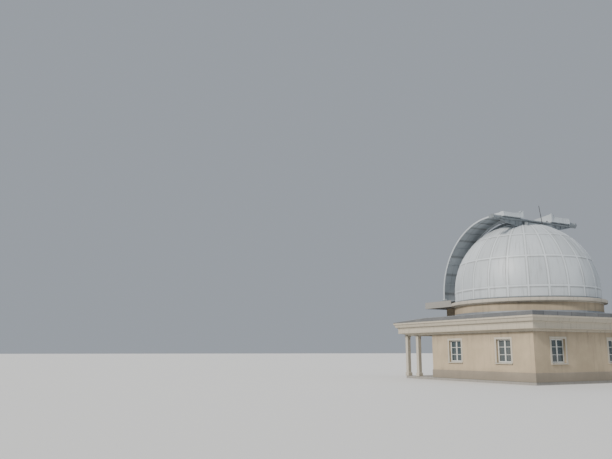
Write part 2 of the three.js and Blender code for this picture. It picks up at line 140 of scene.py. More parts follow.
class Look:
    """A material. Its place is the piece's Object coordinates, and x, y and z are their three parts."""

    def __init__(self, name):
        self.material = bpy.data.materials.new(name)
        self.material.use_nodes = True
        self.tree = self.material.node_tree
        self.shader = self.tree.nodes["Principled BSDF"]
        self.place = self.node("TexCoord", {}, "Object")
        self.x, self.y, self.z = (self.node("SeparateXYZ", {0: self.place}, axis) for axis in "XYZ")

    def node(self, kind, feeds, output=0, **settings):
        """Adds a node, makes its settings, feeds its sockets and returns one of its outputs."""
        made = self.tree.nodes.new("ShaderNode" + kind)
        for name, value in settings.items():
            setattr(made, name, value)
        for socket, value in feeds.items():
            self.feed(made.inputs[socket], value)
        return Value(self, made.outputs[output])

    def feed(self, socket, value):
        if isinstance(value, Value):
            self.tree.links.new(value.socket, socket)
        else:
            socket.default_value = (*value, 1.0) if socket.type == "RGBA" else value

    def maths(self, operation, first, second=0.0):
        return self.node("Math", {0: first, 1: second}, operation=operation)

    def point(self, x, y, z):
        return self.node("CombineXYZ", {0: x, 1: y, 2: z})

    def reach(self):
        """The distance from the Z axis."""
        return (self.x * self.x + self.y * self.y) ** 0.5

    def angle(self, over, along):
        """In degrees, the angle whose tangent is over divided by along."""
        return self.maths("ARCTAN2", over, along) * math.degrees(1.0)

    def noise(self, scale, detail=4.0, at=None, rough=0.6):
        """Smooth chance from 0 to 1, with about scale lumps to a metre."""
        feeds = {"Vector": at or self.place, "Scale": scale, "Detail": detail, "Roughness": rough}
        return self.node("TexNoise", feeds)

    def chance(self, number):
        """A chance from 0 to 1 that is the same wherever the number is the same."""
        return self.node("TexWhiteNoise", {"W": number}, noise_dimensions="1D")

    def cells(self, scale, at=None, output=0, feature="F1"):
        """Random cells: how far a point is from its cell's middle or edge, or the cell's own colour."""
        return self.node("TexVoronoi", {"Vector": at or self.place, "Scale": scale}, output, feature=feature)

    def ease(self, value, low, high):
        """0 below low, 1 above high, and a smooth step between. It falls where low is above high."""
        feeds = {"Value": value, "From Min": low, "From Max": high}
        return self.node("MapRange", feeds, interpolation_type="SMOOTHSTEP")

    def spots(self, low, high, *noise, **more):
        """Noise cut down to spots: 0 where it is below low, 1 where it is above high."""
        return self.ease(self.noise(*noise, **more), low, high)

    def coats(self, colour, *layers):
        """A colour under layers of paint or dirt. A layer is its colour and its share, from 0 to 1."""
        for coat, share in layers:
            colour = self.node("Mix", {0: share, 6: colour, 7: coat}, output=2, data_type="RGBA")
        return colour

    def joint(self, along, pitch, width):
        """1 on thin lines across a direction, one every pitch."""
        return self.ease(self.maths("PINGPONG", along, pitch / 2), width, width * 0.4)

    def finish(self, colour, roughness, height=None, depth=0.002, **more):
        """Feeds the shader. Height is in shares of depth, and more names other sockets of the shader."""
        feeds = {"Base Color": colour, "Roughness": roughness, **more}
        if height is not None:
            feeds["Normal"] = self.node("Bump", {"Height": height, "Distance": depth, "Strength": 1.0})
        for name, value in feeds.items():
            self.feed(self.shader.inputs[name.replace("_", " ")], value)
        return self.material


def shade(tint, share):
    """A tint made darker or lighter."""
    return [min(1.0, part * share) for part in tint]


# %% [markdown]
# ## Finishes
#
# A finish is told in coats, as it came about: first the colour of the stuff itself, then what weather and
# use did to it. Water is what ages a building most, so each finish says which way water runs on it, and
# its dirt is drawn out along that way.

# %% Where water runs


def down_the_wall(look):
    """Straight down: chance changes quickly across a wall and slowly along Z."""
    return look.point(look.x * 5.0, look.y * 5.0, look.z * 0.35)


def down_the_dome(look):
    """Down the meridians: the direction from the axis takes the place of x and y."""
    reach = look.reach() + 0.05
    return look.point(look.x / reach * 22.0, look.y / reach * 22.0, look.z * 0.45)


def down_the_leaf(look):
    """Round the X axis, the way a barrel-shaped leaf sheds water."""
    return look.point(look.x * 7.0, look.y * 0.3, look.z * 0.3)


# %% Paint on metal
SPRING = 5.01  # height of the sphere's centre
SEAM_STEP = 15.0  # degrees between the dome's upright seams
HOOPS = (0.0, 24.0, 48.0, 69.0)  # angles of the level seams above the spring line
LEAF_OUT = 4.27  # distance of a leaf's skin from the X axis through the sphere's centre
LEAF_STEP = 16.0  # degrees between a leaf's seams
LEAF_SEAMS = np.arange(2.0, 95.0, LEAF_STEP)  # their angles, 0 at the front
ARC = math.radians(1.0)  # length of one degree of arc at distance 1


def dome_sheets(look):
    """A number for each sheet of the dome, and 1 beside its seams. How far a point is from an upright seam
    is its angle from it in radians, times its distance from the axis."""
    azimuth = look.angle(look.x, look.y)
    rise = look.angle(look.z - SPRING, look.reach())
    number = look.maths("FLOOR", azimuth / SEAM_STEP) * 7.0
    from_upright = look.maths("PINGPONG", azimuth, SEAM_STEP / 2) * look.reach() * ARC
    beside = look.ease(from_upright, 0.13, 0.035)
    for angle in HOOPS:
        number = number + look.maths("GREATER_THAN", rise, angle)
        from_hoop = abs(rise - angle + 0.5) * (4.0 * ARC)
        beside = look.maths("MAXIMUM", beside, look.ease(from_hoop, 0.13, 0.035))
    return number, beside


def leaf_sheets(look):
    """The same for a leaf, whose seams lie at even angles round the X axis."""
    angle = look.angle(look.z - SPRING, look.y * -1.0) - LEAF_SEAMS[0]
    from_seam = look.maths("PINGPONG", angle, LEAF_STEP / 2) * (LEAF_OUT * ARC)
    before_head = look.ease(look.y, 0.45, 0.35)
    return look.maths("FLOOR", angle / LEAF_STEP), look.ease(from_seam, 0.12, 0.035) * before_head


def painted_metal(name, paint, grime, water, wear=0.5, sheets=None):
    """Old gloss paint. Chalky patches lighten it, streaks of grime follow the water, and rust shows in spots
    that chance picks where the paint is thinnest. Sheets differ a little, and dirt stays by their seams."""
    look = Look(name)
    patches = look.noise(0.9, 5.0)
    streaks = look.spots(0.5, 0.78, 1.0, 6.0, water(look), 0.65)
    specks = look.spots(0.62, 0.75, 55.0, 3.0)
    thin = look.spots(0.72, 0.8, 7.0, 8.0, rough=0.75)
    colour = look.coats(shade(paint, 0.92), (shade(paint, 1.12), patches))
    if sheets:
        number, beside = sheets(look)
        dirt = beside * (0.25 + 0.5 * look.noise(2.6, 5.0))
        colour = look.coats(colour, (shade(paint, 0.72), look.chance(number) * 0.55), (grime, dirt))
    rust = (0.2, 0.075, 0.03)
    colour = look.coats(
        colour, (grime, streaks * (0.35 + 0.5 * patches) * wear * 1.3), (grime, specks * 0.18 * wear),
        (rust, thin * wear * 0.9),
    )
    roughness = 0.34 + 0.2 * patches + 0.22 * streaks + 0.25 * thin
    buckle = look.noise(1.7, 2.0) * 0.9 + look.noise(240.0, 2.0) * 0.03 - thin * 0.05
    return look.finish(colour, roughness, buckle, 0.012)


GRIME = (0.12, 0.12, 0.11)
DOME_PAINT = painted_metal("dome_paint", (0.49, 0.53, 0.56), GRIME, down_the_dome, 0.8, dome_sheets)
STRAP_PAINT = painted_metal("strap_paint", (0.53, 0.57, 0.6), GRIME, down_the_dome, 0.5)
LEAF_PAINT = painted_metal("leaf_paint", (0.42, 0.46, 0.5), GRIME, down_the_leaf, 0.8, leaf_sheets)
LEAF_STRAP_PAINT = painted_metal("leaf_strap_paint", (0.46, 0.5, 0.53), GRIME, down_the_leaf, 0.6)
FRAME_PAINT = painted_metal("frame_paint", (0.19, 0.215, 0.235), (0.06, 0.055, 0.05), down_the_wall, 0.8)
WINDOW_PAINT = painted_metal("window_paint", (0.6, 0.6, 0.56), (0.2, 0.18, 0.15), down_the_wall, 0.35)
print("paints", [m.name for m in bpy.data.materials if m.name.endswith("paint")])

# %% [markdown]
# ### Render on the walls
#
# Lime render is sand in a soft binder. Its grain is a millimetre or two and its surface rises and falls
# under the float. Rain splashes its foot, runs down from the cornice and opens hairline cracks, which are
# the edges of large random cells.

# %% Wall render


def wall_render(name, tint, foot, head):
    """Lime render between two heights. Dirt gathers near both of them."""
    look = Look(name)
    broad = look.noise(0.55, 6.0)
    streaks = look.noise(1.0, 6.0, down_the_wall(look), 0.7)
    splash = look.ease(look.z + look.noise(2.5, 5.0) * 0.5, foot + 0.95, foot + 0.15)
    damp = look.ease(look.z + streaks * 0.9, head - 0.25, head + 0.55)
    shake = look.noise(2.4, 5.0, rough=0.55) * 0.28
    crack_at = look.point(look.x + shake, look.y + shake, look.z - shake)
    crack = look.ease(look.cells(0.55, crack_at, feature="DISTANCE_TO_EDGE"), 0.0022, 0.0004)
    crack = crack * look.spots(0.54, 0.62, 0.6, 2.0)
    stains = look.ease(streaks, 0.5, 0.8) * 0.4 + damp * 0.4
    colour = look.coats(
        shade(tint, 0.86), (shade(tint, 1.1), look.ease(broad, 0.3, 0.7)),
        ((0.19, 0.165, 0.13), splash * 0.55), ((0.17, 0.15, 0.12), stains), ((0.2, 0.17, 0.14), crack * 0.6),
    )
    grain = look.noise(130.0, 3.0) * 0.35 + look.noise(420.0, 2.0) * 0.12
    height = grain + look.noise(4.5, 3.0) * 0.9 - crack * 0.3
    return look.finish(colour, 0.86 + 0.1 * broad, height, 0.006)


WALL_RENDER = wall_render("wall_render", (0.44, 0.355, 0.245), 0.15, 2.6)
PLINTH_RENDER = wall_render("plinth_render", (0.26, 0.225, 0.175), 0.15, 2.6)
DRUM_RENDER = wall_render("drum_render", (0.44, 0.355, 0.245), 3.4, 4.15)

# %% [markdown]
# ### Cast stone, concrete, felt
#
# The cornice is cast in lengths, so it shows a joint every metre or so. The joints must follow the side
# that they are on, and a straight cornice, a round coping and a post differ in nothing else. So the finish
# takes a function that tells how far along its length a point lies.

# %% Cast stone
WALL_HALF = 3.87  # half the width of the block
PORCH_FRONT, BACK = -6.47, 3.87  # the y of the beam's front and of the block's back
COPING_OUT = 4.27


def along_cornice(look):
    """x on the front and the back, y on the sides. The mitres divide them."""
    beyond_x = abs(look.x) - WALL_HALF
    beyond_y = abs(look.y - (PORCH_FRONT + BACK) / 2) - (BACK - PORCH_FRONT) / 2
    side = look.ease(beyond_x - beyond_y, -0.001, 0.001)
    return look.y * side + look.x * (1.0 - side)


def along_ring(look):
    """The length of arc at the coping's edge."""
    return look.maths("ARCTAN2", look.x, look.y) * COPING_OUT


def cast_stone(name, tint, along=None):
    """Cement and crushed stone: a fine speckle, pinholes, joints, and black crust where the rain lies."""
    look = Look(name)
    broad = look.noise(1.1, 6.0)
    speckle = look.noise(160.0, 2.0)
    holes = look.ease(look.cells(60.0), 0.16, 0.06) * look.spots(0.52, 0.62, 9.0)
    streaks = look.spots(0.5, 0.75, 1.0, 6.0, down_the_wall(look), 0.7)
    up = look.node("SeparateXYZ", {0: look.node("NewGeometry", {}, "Normal")}, "Z")
    crust = look.ease(up + look.noise(6.0, 5.0) * 0.8, 0.75, 1.35)
    colour = look.coats(
        shade(tint, 0.85), (shade(tint, 1.08), broad), (shade(tint, 0.7), speckle * 0.35),
        ((0.13, 0.125, 0.11), streaks * 0.4 + crust * 0.5),
    )
    height = speckle * 0.25 + broad * 0.4 - holes * 0.5
    if along:
        joints = look.joint(along(look), 1.1, 0.006)
        colour = look.coats(colour, ((0.1, 0.095, 0.085), joints * 0.75))
        height = height - joints * 1.2
    return look.finish(colour, 0.8 + 0.12 * speckle, height, 0.004)


CORNICE_STONE = cast_stone("cornice_stone", (0.5, 0.45, 0.36), along_cornice)
COPING_STONE = cast_stone("coping_stone", (0.46, 0.425, 0.36), along_ring)
DRESSED_STONE = cast_stone("dressed_stone", (0.5, 0.46, 0.38))

# %% Concrete and roofing


def board_concrete(name, tint, slabs):
    """Concrete cast against boards, or a floor of slabs: lines at a pitch, pores, and wandering stains."""
    look = Look(name)
    broad = look.noise(0.8, 7.0)
    pores = look.ease(look.cells(38.0), 0.13, 0.05) * look.spots(0.48, 0.6, 5.0)
    stains = look.spots(0.55, 0.7, 1.6, 8.0, rough=0.7)
    if slabs:
        lines = look.joint(look.x, 0.6, 0.008) + look.joint(look.y + 0.17, 0.6, 0.008)
    else:
        lines = look.joint(look.z - 0.02, 0.12, 0.005) * 0.5
    lines = look.ease(lines, 0.0, 1.0)
    colour = look.coats(
        shade(tint, 0.78), (shade(tint, 1.12), broad), ((0.12, 0.115, 0.1), stains * 0.45 + pores * 0.4),
        ((0.09, 0.085, 0.08), lines * 0.6),
    )
    height = look.noise(90.0, 3.0) * 0.3 + broad * 0.5 - pores * 0.6 - lines * 0.8
    return look.finish(colour, 0.82 + 0.14 * broad, height, 0.003)


def mineral_felt(name):
    """Grey mineral felt, laid from the porch's edge backwards in strips a metre wide with sealed laps.
    Inside the drum the same slab is the dome room's floor, worn grey paint on concrete, and its underside
    is a whitewashed ceiling."""
    look = Look(name)
    inside = look.ease(look.reach(), 3.72, 3.7)
    under = look.ease(look.z, 3.385, 3.382)
    trodden = look.spots(0.42, 0.62, 0.8, 7.0, rough=0.7)
    strip = look.x + 0.35
    lap = look.joint(strip, 1.0, 0.03)
    granules = look.cells(320.0)
    faded = look.chance(look.maths("FLOOR", strip)) * 0.5 + granules * 0.5
    worn = look.spots(0.5, 0.68, 1.3, 7.0)
    puddle = look.spots(0.55, 0.6, 0.45, 3.0)
    floor_paint = look.coats((0.24, 0.25, 0.25), ((0.34, 0.33, 0.31), trodden))
    whitewash = look.coats((0.56, 0.54, 0.49), ((0.42, 0.39, 0.33), worn))
    colour = look.coats(
        (0.1, 0.105, 0.11), ((0.19, 0.195, 0.2), faded), ((0.24, 0.235, 0.225), worn * 0.3 + puddle * 0.15),
        ((0.035, 0.035, 0.037), lap * 0.7), (floor_paint, inside), (whitewash, under),
    )
    height = (granules * 0.4 + lap * 0.8 + worn * 0.2) * (1.0 - inside) * (1.0 - under) + trodden * 0.1
    return look.finish(colour, 0.9 - 0.2 * lap - 0.3 * inside * (1.0 - under), height, 0.004)


CONCRETE = board_concrete("board_concrete", (0.3, 0.29, 0.27), slabs=False)
FLOOR_SLABS = board_concrete("floor_slabs", (0.3, 0.285, 0.26), slabs=True)
FELT = mineral_felt("mineral_felt")

# %% [markdown]
# ### Bare metal, wood, glass
#
# Zinc on steel freezes into leafy crystals, so a pattern of random cells gives each its own sheen. Wood is
# noise pulled out along the grain. Glass needs almost nothing but dust.

# %% Zinc and plain metal


def crystal_zinc(name):
    """Crystals that each have their own sheen, dull patches, and rust where the zinc has gone."""
    look = Look(name)
    sheen = look.node("SeparateColor", {0: look.cells(45.0, output="Color")})
    dull = look.noise(2.0, 6.0)
    rust = look.spots(0.66, 0.74, 4.0, 8.0, rough=0.7)
    colour = look.coats(
        (0.3, 0.32, 0.34), ((0.5, 0.52, 0.54), sheen * 0.6 + dull * 0.4), ((0.18, 0.085, 0.04), rust * 0.6)
    )
    height = dull * 0.3 + sheen * 0.02
    return look.finish(colour, 0.38 + 0.2 * sheen + 0.3 * rust, height, 0.002, Metallic=0.85 - 0.75 * rust)


def plain_metal(name, tint, metallic, rough, lumps=12.0):
    """Sheet or a small fitting: brighter in places, dull between, with streaks where water ran."""
    look = Look(name)
    dull = look.noise(lumps, 6.0)
    streaks = look.spots(0.45, 0.8, 1.0, 6.0, down_the_wall(look))
    bright = look.ease(dull, 0.3, 0.7)
    colour = look.coats(shade(tint, 0.8), (tint, bright), (shade(tint, 0.5), streaks * 0.4))
    return look.finish(colour, rough + 0.25 * dull, look.noise(60.0, 4.0), 0.0006, Metallic=metallic)


ZINC = crystal_zinc("crystal_zinc")
SHEET_ZINC = plain_metal("sheet_zinc", (0.3, 0.32, 0.34), 0.5, 0.4, lumps=3.0)
HANDLE_STEEL = plain_metal("handle_steel", (0.45, 0.44, 0.42), 1.0, 0.25)
ROD_STEEL = plain_metal("rod_steel", (0.07, 0.07, 0.075), 0.4, 0.5)

# %% Wood and glass


def oiled_oak(name, upright):
    """Noise stretched along the grain, Z for an upright board and X for a rail, with pores and rings."""
    look = Look(name)
    fine, coarse = (40.0, 1.4) if upright else (1.4, 40.0)
    fibre = look.noise(1.0, 6.0, look.point(look.x * fine, look.y * 40.0, look.z * coarse), 0.7)
    rings = look.noise(1.0, 3.0, look.point(look.x * fine / 6, look.y * 8.0, look.z * coarse / 6))
    pores_at = look.point(look.x * fine * 6, look.y * 200.0, look.z * coarse * 6)
    pores = look.spots(0.6, 0.7, 1.0, 2.0, pores_at)
    weather = look.ease(look.z + look.noise(3.0, 4.0) * 0.5, 0.85, 0.3)
    colour = look.coats(
        (0.085, 0.04, 0.018), ((0.24, 0.125, 0.055), fibre * 0.6 + rings * 0.5),
        ((0.03, 0.017, 0.01), pores * 0.6), ((0.2, 0.17, 0.14), weather * 0.5),
    )
    return look.finish(colour, 0.42 + 0.2 * fibre + 0.2 * weather, fibre * 0.5 - pores * 0.5, 0.0015)


def window_glass(name):
    """Clear glass with dust that rain has drawn down. Only its tint and its roughness change."""
    look = Look(name)
    dust = look.spots(0.35, 0.8, 0.5, 5.0, down_the_wall(look))
    colour = look.coats((0.07, 0.1, 0.11), ((0.16, 0.17, 0.165), dust))
    return look.finish(colour, 0.04 + 0.14 * dust, Transmission_Weight=0.35, Specular_IOR_Level=0.8)


OAK_UPRIGHT = oiled_oak("oak_upright", upright=True)
OAK_ACROSS = oiled_oak("oak_across", upright=False)
GLASS = window_glass("window_glass")
print("materials so far", len(bpy.data.materials))

# %% [markdown]
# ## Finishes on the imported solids
#
# Walls, floors and slabs already have the right shape. They keep their solids and only change what their
# material slots hold.

# %% Dress the solids
DRESS = {  # how the names of nodes start
    "wall_": WALL_RENDER, "slab_pier": DRUM_RENDER, "floor_slab": FLOOR_SLABS, "roof_slab": FELT,
    "projecting_slab": CONCRETE, "dome_track": ZINC, "base_ring": ZINC, "window_pane": GLASS,
    "rear_transom": FRAME_PAINT,
}
for node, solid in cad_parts.items():
    for start, finish in DRESS.items():
        if node.startswith(start):
            for slot in solid.material_slots:
                slot.material = finish
            print(node, "in", finish.name)

# %% The studio floor
FLOOR_REACH = 600.0
floor_look = Look("studio_floor")
floor_finish = floor_look.finish((0.62, 0.62, 0.61), 0.85 + 0.05 * floor_look.noise(0.5))
floor_mesh = bpy.data.meshes.new("studio_floor")
corners = [(-1, -1), (1, -1), (1, 1), (-1, 1)]
floor_mesh.from_pydata([(x * FLOOR_REACH, y * FLOOR_REACH, -0.001) for x, y in corners], [], [(0, 1, 2, 3)])
floor_mesh.materials.append(floor_finish)
studio_floor = new_object("studio_floor", floor_mesh)

# %% [markdown]
# ## Shapes as arrays
#
# Nearly every piece of a building is an outline carried along a path: a cornice round the walls, a rail, a
# strap over the dome, even a box. One function does that for whole arrays at once. A shape here is a pair:
# its points, and groups of faces that hold the numbers of their corners. Modelling by hand, or with curve
# objects and a bevel, would give the same surfaces, but their sizes would be harder to read off.

# %% Grids and outlines


def weave(rows, columns, round_rows=False, round_columns=False):
    """Quads on a grid of points numbered row by row. A round direction joins its end to its start."""
    number = np.arange(rows * columns).reshape(rows, columns)
    below, beside = np.roll(number, -1, axis=0), np.roll(number, -1, axis=1)
    quads = np.stack([number, below, np.roll(below, -1, axis=1), beside], axis=-1)
    return quads[:rows - (not round_rows), :columns - (not round_columns)].reshape(-1, 4)


def tube(rows, columns, closed=False):
    """The faces between outlines that follow each other, with a flat face at each end of an open path."""
    rim = np.arange(columns)
    ends = [] if closed else [np.stack([rim, rim[::-1] + (rows - 1) * columns])]
    return [weave(rows, columns, closed, True), *ends]


def triangles(faces):
    """Each face as triangles that share its first corner."""
    return np.concatenate([group[:, [0, k, k + 1]] for group in faces for k in range(1, group.shape[1] - 1)])


def outward(points, faces):
    """Turns the faces of a closed shape round if they point inwards. Six times the volume is the sum, over
    its triangles, of the triple product of their corners, and it is negative for a shape inside out."""
    a, b, c = points[triangles(faces)].swapaxes(0, 1)
    volume = (a * np.cross(b, c)).sum()
    return (points, faces) if volume > 0 else (points, [group[:, ::-1] for group in faces])


def carry(outline, origins, sides, ups, closed=False):
    """Carries an outline of (side, up) points along a path: point (i, j) is origin i, plus side i times
    the outline's first number, plus up i times its second. An open path gets flat ends."""
    outline = np.asarray(outline, float)
    stations = [np.atleast_2d(np.asarray(part, float)) for part in (origins, sides, ups)]
    origins, sides, ups = np.broadcast_arrays(*stations)
    points = origins[:, None] + outline[:, :1] * sides[:, None] + outline[:, 1:] * ups[:, None]
    return outward(points.reshape(-1, 3), tube(*points.shape[:2], closed))


def thick(outer, inner):
    """A sheet between two grids of points, closed by a strip round their edges."""
    rows, columns = outer.shape[:2]
    number = np.arange(rows * columns).reshape(rows, columns)
    edge = np.concatenate([number[0, :-1], number[:-1, -1], number[-1, :0:-1], number[:0:-1, 0]])
    after = np.roll(edge, -1)
    shift = rows * columns
    sheet = weave(rows, columns)
    strip = np.stack([edge, after, after + shift, edge + shift], axis=-1)
    points = np.concatenate([outer.reshape(-1, 3), inner.reshape(-1, 3)])
    return outward(points, [sheet, sheet[:, ::-1] + shift, strip])


# %% Putting shapes together


def join(*shapes):
    """Several shapes as one: points stacked, and each face's numbers moved on by the points before it."""
    before = np.cumsum([0, *(len(points) for points, _ in shapes)])
    faces = [group + shift for (_, groups), shift in zip(shapes, before) for group in groups]
    return np.concatenate([points for points, _ in shapes]), faces


def mirrored(shape):
    """The mirror image across the plane x = 0, its faces turned round so that they still point out."""
    points, faces = shape
    return points * (-1, 1, 1), [group[:, ::-1] for group in faces]


def both(*shapes):
    """Shapes and their mirror images."""
    return join(*shapes, mirrored(join(*shapes)))


def welded(shape):
    """Points that fall together, to a hundredth of a millimetre, become one. Every face is cut into
    triangles, and those that have lost a corner go."""
    points, faces = shape
    cells = np.round(points * 1e5).astype(np.int64)
    _, first, number = np.unique(cells, axis=0, return_index=True, return_inverse=True)
    corners = number.reshape(-1)[triangles(faces)]
    kept = (corners != np.roll(corners, 1, axis=1)).all(axis=1)
    return points[first], [corners[kept]]


# %% Common shapes
Z_AXIS = np.array([0, 0, 1.0])


def rectangle(low, high):
    return [(low[0], low[1]), (high[0], low[1]), (high[0], high[1]), (low[0], high[1])]


def block(low, high):
    """A box between two corners: its plan, carried up Z."""
    return carry(rectangle(low[:2], high[:2]), [(0, 0, low[2]), (0, 0, high[2])], (1, 0, 0), (0, 1, 0))


def boxes(corners):
    """A box for each pair of corners."""
    return join(*(block(low, high) for low, high in corners))


def along_x(outline, start, end):
    """An outline of (y, z) points carried along X."""
    return carry(outline, [(start, 0, 0), (end, 0, 0)], (0, 1, 0), Z_AXIS)


def along_y(outline, start, end):
    """An outline of (x, z) points carried along Y."""
    return carry(outline, [(0, start, 0), (0, end, 0)], (1, 0, 0), Z_AXIS)


def around_plan(outline, right_half, closed=True):
    """Carries an outline of (out, height) points round a plan that is alike on its left and right. A station
    of the right half is x, y and z, and the x and y of its out vector, at a corner the diagonal."""
    left_half = [(-x, y, z, -u, v) for x, y, z, u, v in reversed(right_half)]
    stations = np.array([*right_half, *left_half], float)
    return carry(outline, stations[:, :3], np.pad(stations[:, 3:], [(0, 0), (0, 1)]), Z_AXIS, closed)


def around_azimuth(degrees):
    """The level direction away from the axis. 0 is the front, -Y, and 90 is +X."""
    a = np.radians(degrees)
    return np.stack([np.sin(a), -np.cos(a), 0.0 * a], axis=-1)


def turned(outline, azimuths=None):
    """An outline of (radius, height) points turned about the Z axis: all the way, or past some azimuths."""
    once_round = np.arange(0, 360, 2.5)
    stations = around_azimuth(once_round if azimuths is None else azimuths)
    return carry(outline, (0, 0, 0), stations, Z_AXIS, closed=azimuths is None)


# %% Round bars and curves
ASKEW = (0.36, 0.48, 0.8)  # a direction that no bar or rivet of this building has


def circle(sides):
    a = np.arange(sides) * 2 * np.pi / sides
    return np.stack([np.cos(a), np.sin(a)], axis=-1)


def spindle(start, end, stations, sides=24):
    """A round bar. Each station is (share of the way, radius), and has a circle square to the bar there."""
    start, end = np.array(start, float), np.array(end, float)
    shares, radii = np.array(stations, float).T[..., None]
    axis = (end - start) / np.linalg.norm(end - start)
    side = np.cross(axis, ASKEW)
    side /= np.linalg.norm(side)
    return carry(circle(sides), start + shares * (end - start), radii * side, radii * np.cross(axis, side))


def curve(*corners, steps=6):
    """Points on a smooth curve from the first corner to the last, drawn towards those between. With t from
    0 to 1, corner k of 0 to n weighs t to the k, times 1 - t to the n - k, times the ways to pick k of n."""
    t = np.linspace(0, 1, steps + 1)[:, None]
    n = len(corners) - 1
    parts = [math.comb(n, k) * t**k * (1 - t) ** (n - k) * np.array(c) for k, c in enumerate(corners)]
    return [tuple(point) for point in sum(parts)]


# %% Rivets and bolts
DOMED = [(1.0, -0.3), (0.9, 0.55), (0.45, 0.95)]
HEXAGONAL = [(1.0, -0.3), (1.0, 0.85), (0.86, 1.0)]


def studs(places, normals, radius, height, form=DOMED, sides=8):
    """Rivets or bolt heads. Each is the rings of its form: a ring's first number times radius is its own
    radius, and its second times height is how far it stands out along the normal."""
    places, normals = np.broadcast_arrays(np.atleast_2d(places), np.atleast_2d(normals))
    first = np.cross(normals, ASKEW)
    first /= np.linalg.norm(first, axis=1, keepdims=True)
    axes = np.stack([first, np.cross(normals, first), normals], axis=1)
    rings = [(*(point * wide * radius), high * height) for wide, high in form for point in circle(sides)]
    points = places[:, None] + np.array(rings) @ axes
    _, faces = outward(points[0], tube(len(form), sides))
    shift = np.arange(len(places))[:, None, None] * len(rings)
    return points.reshape(-1, 3), [(group + shift).reshape(-1, group.shape[1]) for group in faces]


def bolts(places, normals, radius, height):
    return studs(places, normals, radius, height, HEXAGONAL, 6)


# %% From a shape to a piece
HANDS = {"right": join, "left": mirrored}  # join leaves a single shape as it is


def build(name, shape, finish, slot, body="building", replaces=(), bevel=0.0, crease=32.0):
    """Makes the mesh object of a shape. Edges sharper than crease degrees stay crisp, or get a small
    rounded bevel. The piece rides on its body, and stands for the nodes that it replaces."""
    points, faces = shape
    mesh = bpy.data.meshes.new(name)
    mesh.from_pydata(points.tolist(), [], [face for group in faces for face in group.tolist()])
    mesh.shade_smooth()
    mesh.set_sharp_from_angle(angle=math.radians(crease))
    mesh.materials.append(finish)
    piece = new_object(name, mesh)
    if bevel:
        rounding = piece.modifiers.new("rounded_edges", "BEVEL")
        rounding.width = bevel
        rounding.segments = 2
        rounding.limit_method = "ANGLE"
        rounding.angle_limit = math.radians(crease)
        rounding.harden_normals = True
    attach(piece, body)
    if replaces:
        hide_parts(*replaces)
    print(f"{name}: {len(points)} points on {body}")


def build_pair(name, shape, finish, slot, body, node, **edges):
    """A piece and its mirror image, each for its own node. A star in a name stands for right or left."""
    for side, hand in HANDS.items():
        replaces = [node.replace("*", side)]
        build(name.replace("*", side), hand(shape), finish, slot, body, replaces, **edges)


# %% [markdown]
# ## Cornice
#
# The beam and cornice are one moulding that runs round the building. At a corner the outline isn't turned
# but stretched along the diagonal, which is exactly a mitre: the out vector there is (1, 1), so a point
# that is 0.3 out is 0.3 beyond both faces. The real moulding is run with a template of small curves, and
# so is this one.

# %% Cornice
MOULDING = [
    (-0.35, 2.6), (-0.02, 2.6), (0.0, 2.62), *curve((0.0, 2.64), (0.03, 2.72), (0.17, 2.71), (0.29, 2.735)),
    (0.32, 2.745), (0.32, 2.8), (0.31, 2.81), (0.31, 2.99), (0.325, 3.0),
    *curve((0.325, 3.03), (0.33, 3.075), (0.385, 3.08)), (0.385, 3.1), (0.43, 3.11),
    *curve((0.435, 3.13), (0.47, 3.19), (0.455, 3.23), (0.5, 3.28)), (0.515, 3.28), (0.53, 3.295),
    (0.53, 3.37), (0.52, 3.38), (-0.35, 3.38),
]
cornice = around_plan(MOULDING, [(WALL_HALF, PORCH_FRONT, 0, 1, -1), (WALL_HALF, BACK, 0, 1, 1)])
entablature = [f"entablature_{part}" for part in ("front", "back", "side_right", "side_left")]
build("cornice", cornice, CORNICE_STONE, "trim", replaces=entablature, crease=20.0)

# %% [markdown]
# ## Edge of the roof, and plinth
#
# Felt is turned up over a batten at the roof's edge and held by a metal trim. The trim follows the roof:
# level over the block, then falling over the porch, so its path has two stations more than the cornice.
# The plinth at the foot of the walls goes round in the same way, but its path is open at the door.

# %% Roof trim and hatch
ROOF_HALF, ROOF_BACK, ROOF_BREAK, ROOF_FRONT = 4.4, 4.4, -3.85, -7.0
ROOF_TOP, ROOF_EDGE = 3.58, 3.42
roof_path = [
    (ROOF_HALF, ROOF_FRONT, ROOF_EDGE, 1, -1), (ROOF_HALF, ROOF_BREAK, ROOF_TOP, 1, 0),
    (ROOF_HALF, ROOF_BACK, ROOF_TOP, 1, 1),
]
trim_outline = [(-0.075, -0.004), (-0.001, -0.004), (-0.001, 0.018), (-0.012, 0.024), (-0.06, 0.018)]
build("roof_edge_trim", around_plan(trim_outline, roof_path), SHEET_ZINC, "steel")

hatch = around_plan(
    rectangle((-0.008, -0.07), (0.05, 0.012)), [(0.5, -3.0, ROOF_TOP, 1, -1), (0.5, -1.4, ROOF_TOP, 1, 1)]
)
build("hatch_kerb", hatch, ZINC, "steel", bevel=0.003)

# %% Plinth
FRONT_FACE = -3.85  # the y of the block's front wall
FLOOR_TOP = 0.1503
PLINTH = [(-0.004, FLOOR_TOP), (0.028, FLOOR_TOP), (0.028, 0.56), (0.018, 0.585), (-0.004, 0.6)]
plinth_path = [
    (0.832, FRONT_FACE, 0, 0, -1), (WALL_HALF, FRONT_FACE, 0, 1, -1), (WALL_HALF, BACK, 0, 1, 1),
]
build("wall_plinth", around_plan(PLINTH, plinth_path, closed=False), PLINTH_RENDER, "masonry", bevel=0.004)

# %% [markdown]
# ## Drum and coping
#
# The drum is a plain round wall. Its coping is a ring of cast stone that throws the rain off: the top
# slopes out a little, the nose is rounded, and a groove under it stops water creeping back. Sheet metal is
# dressed up the drum's foot. Each is one outline of radius and height, turned about the axis.

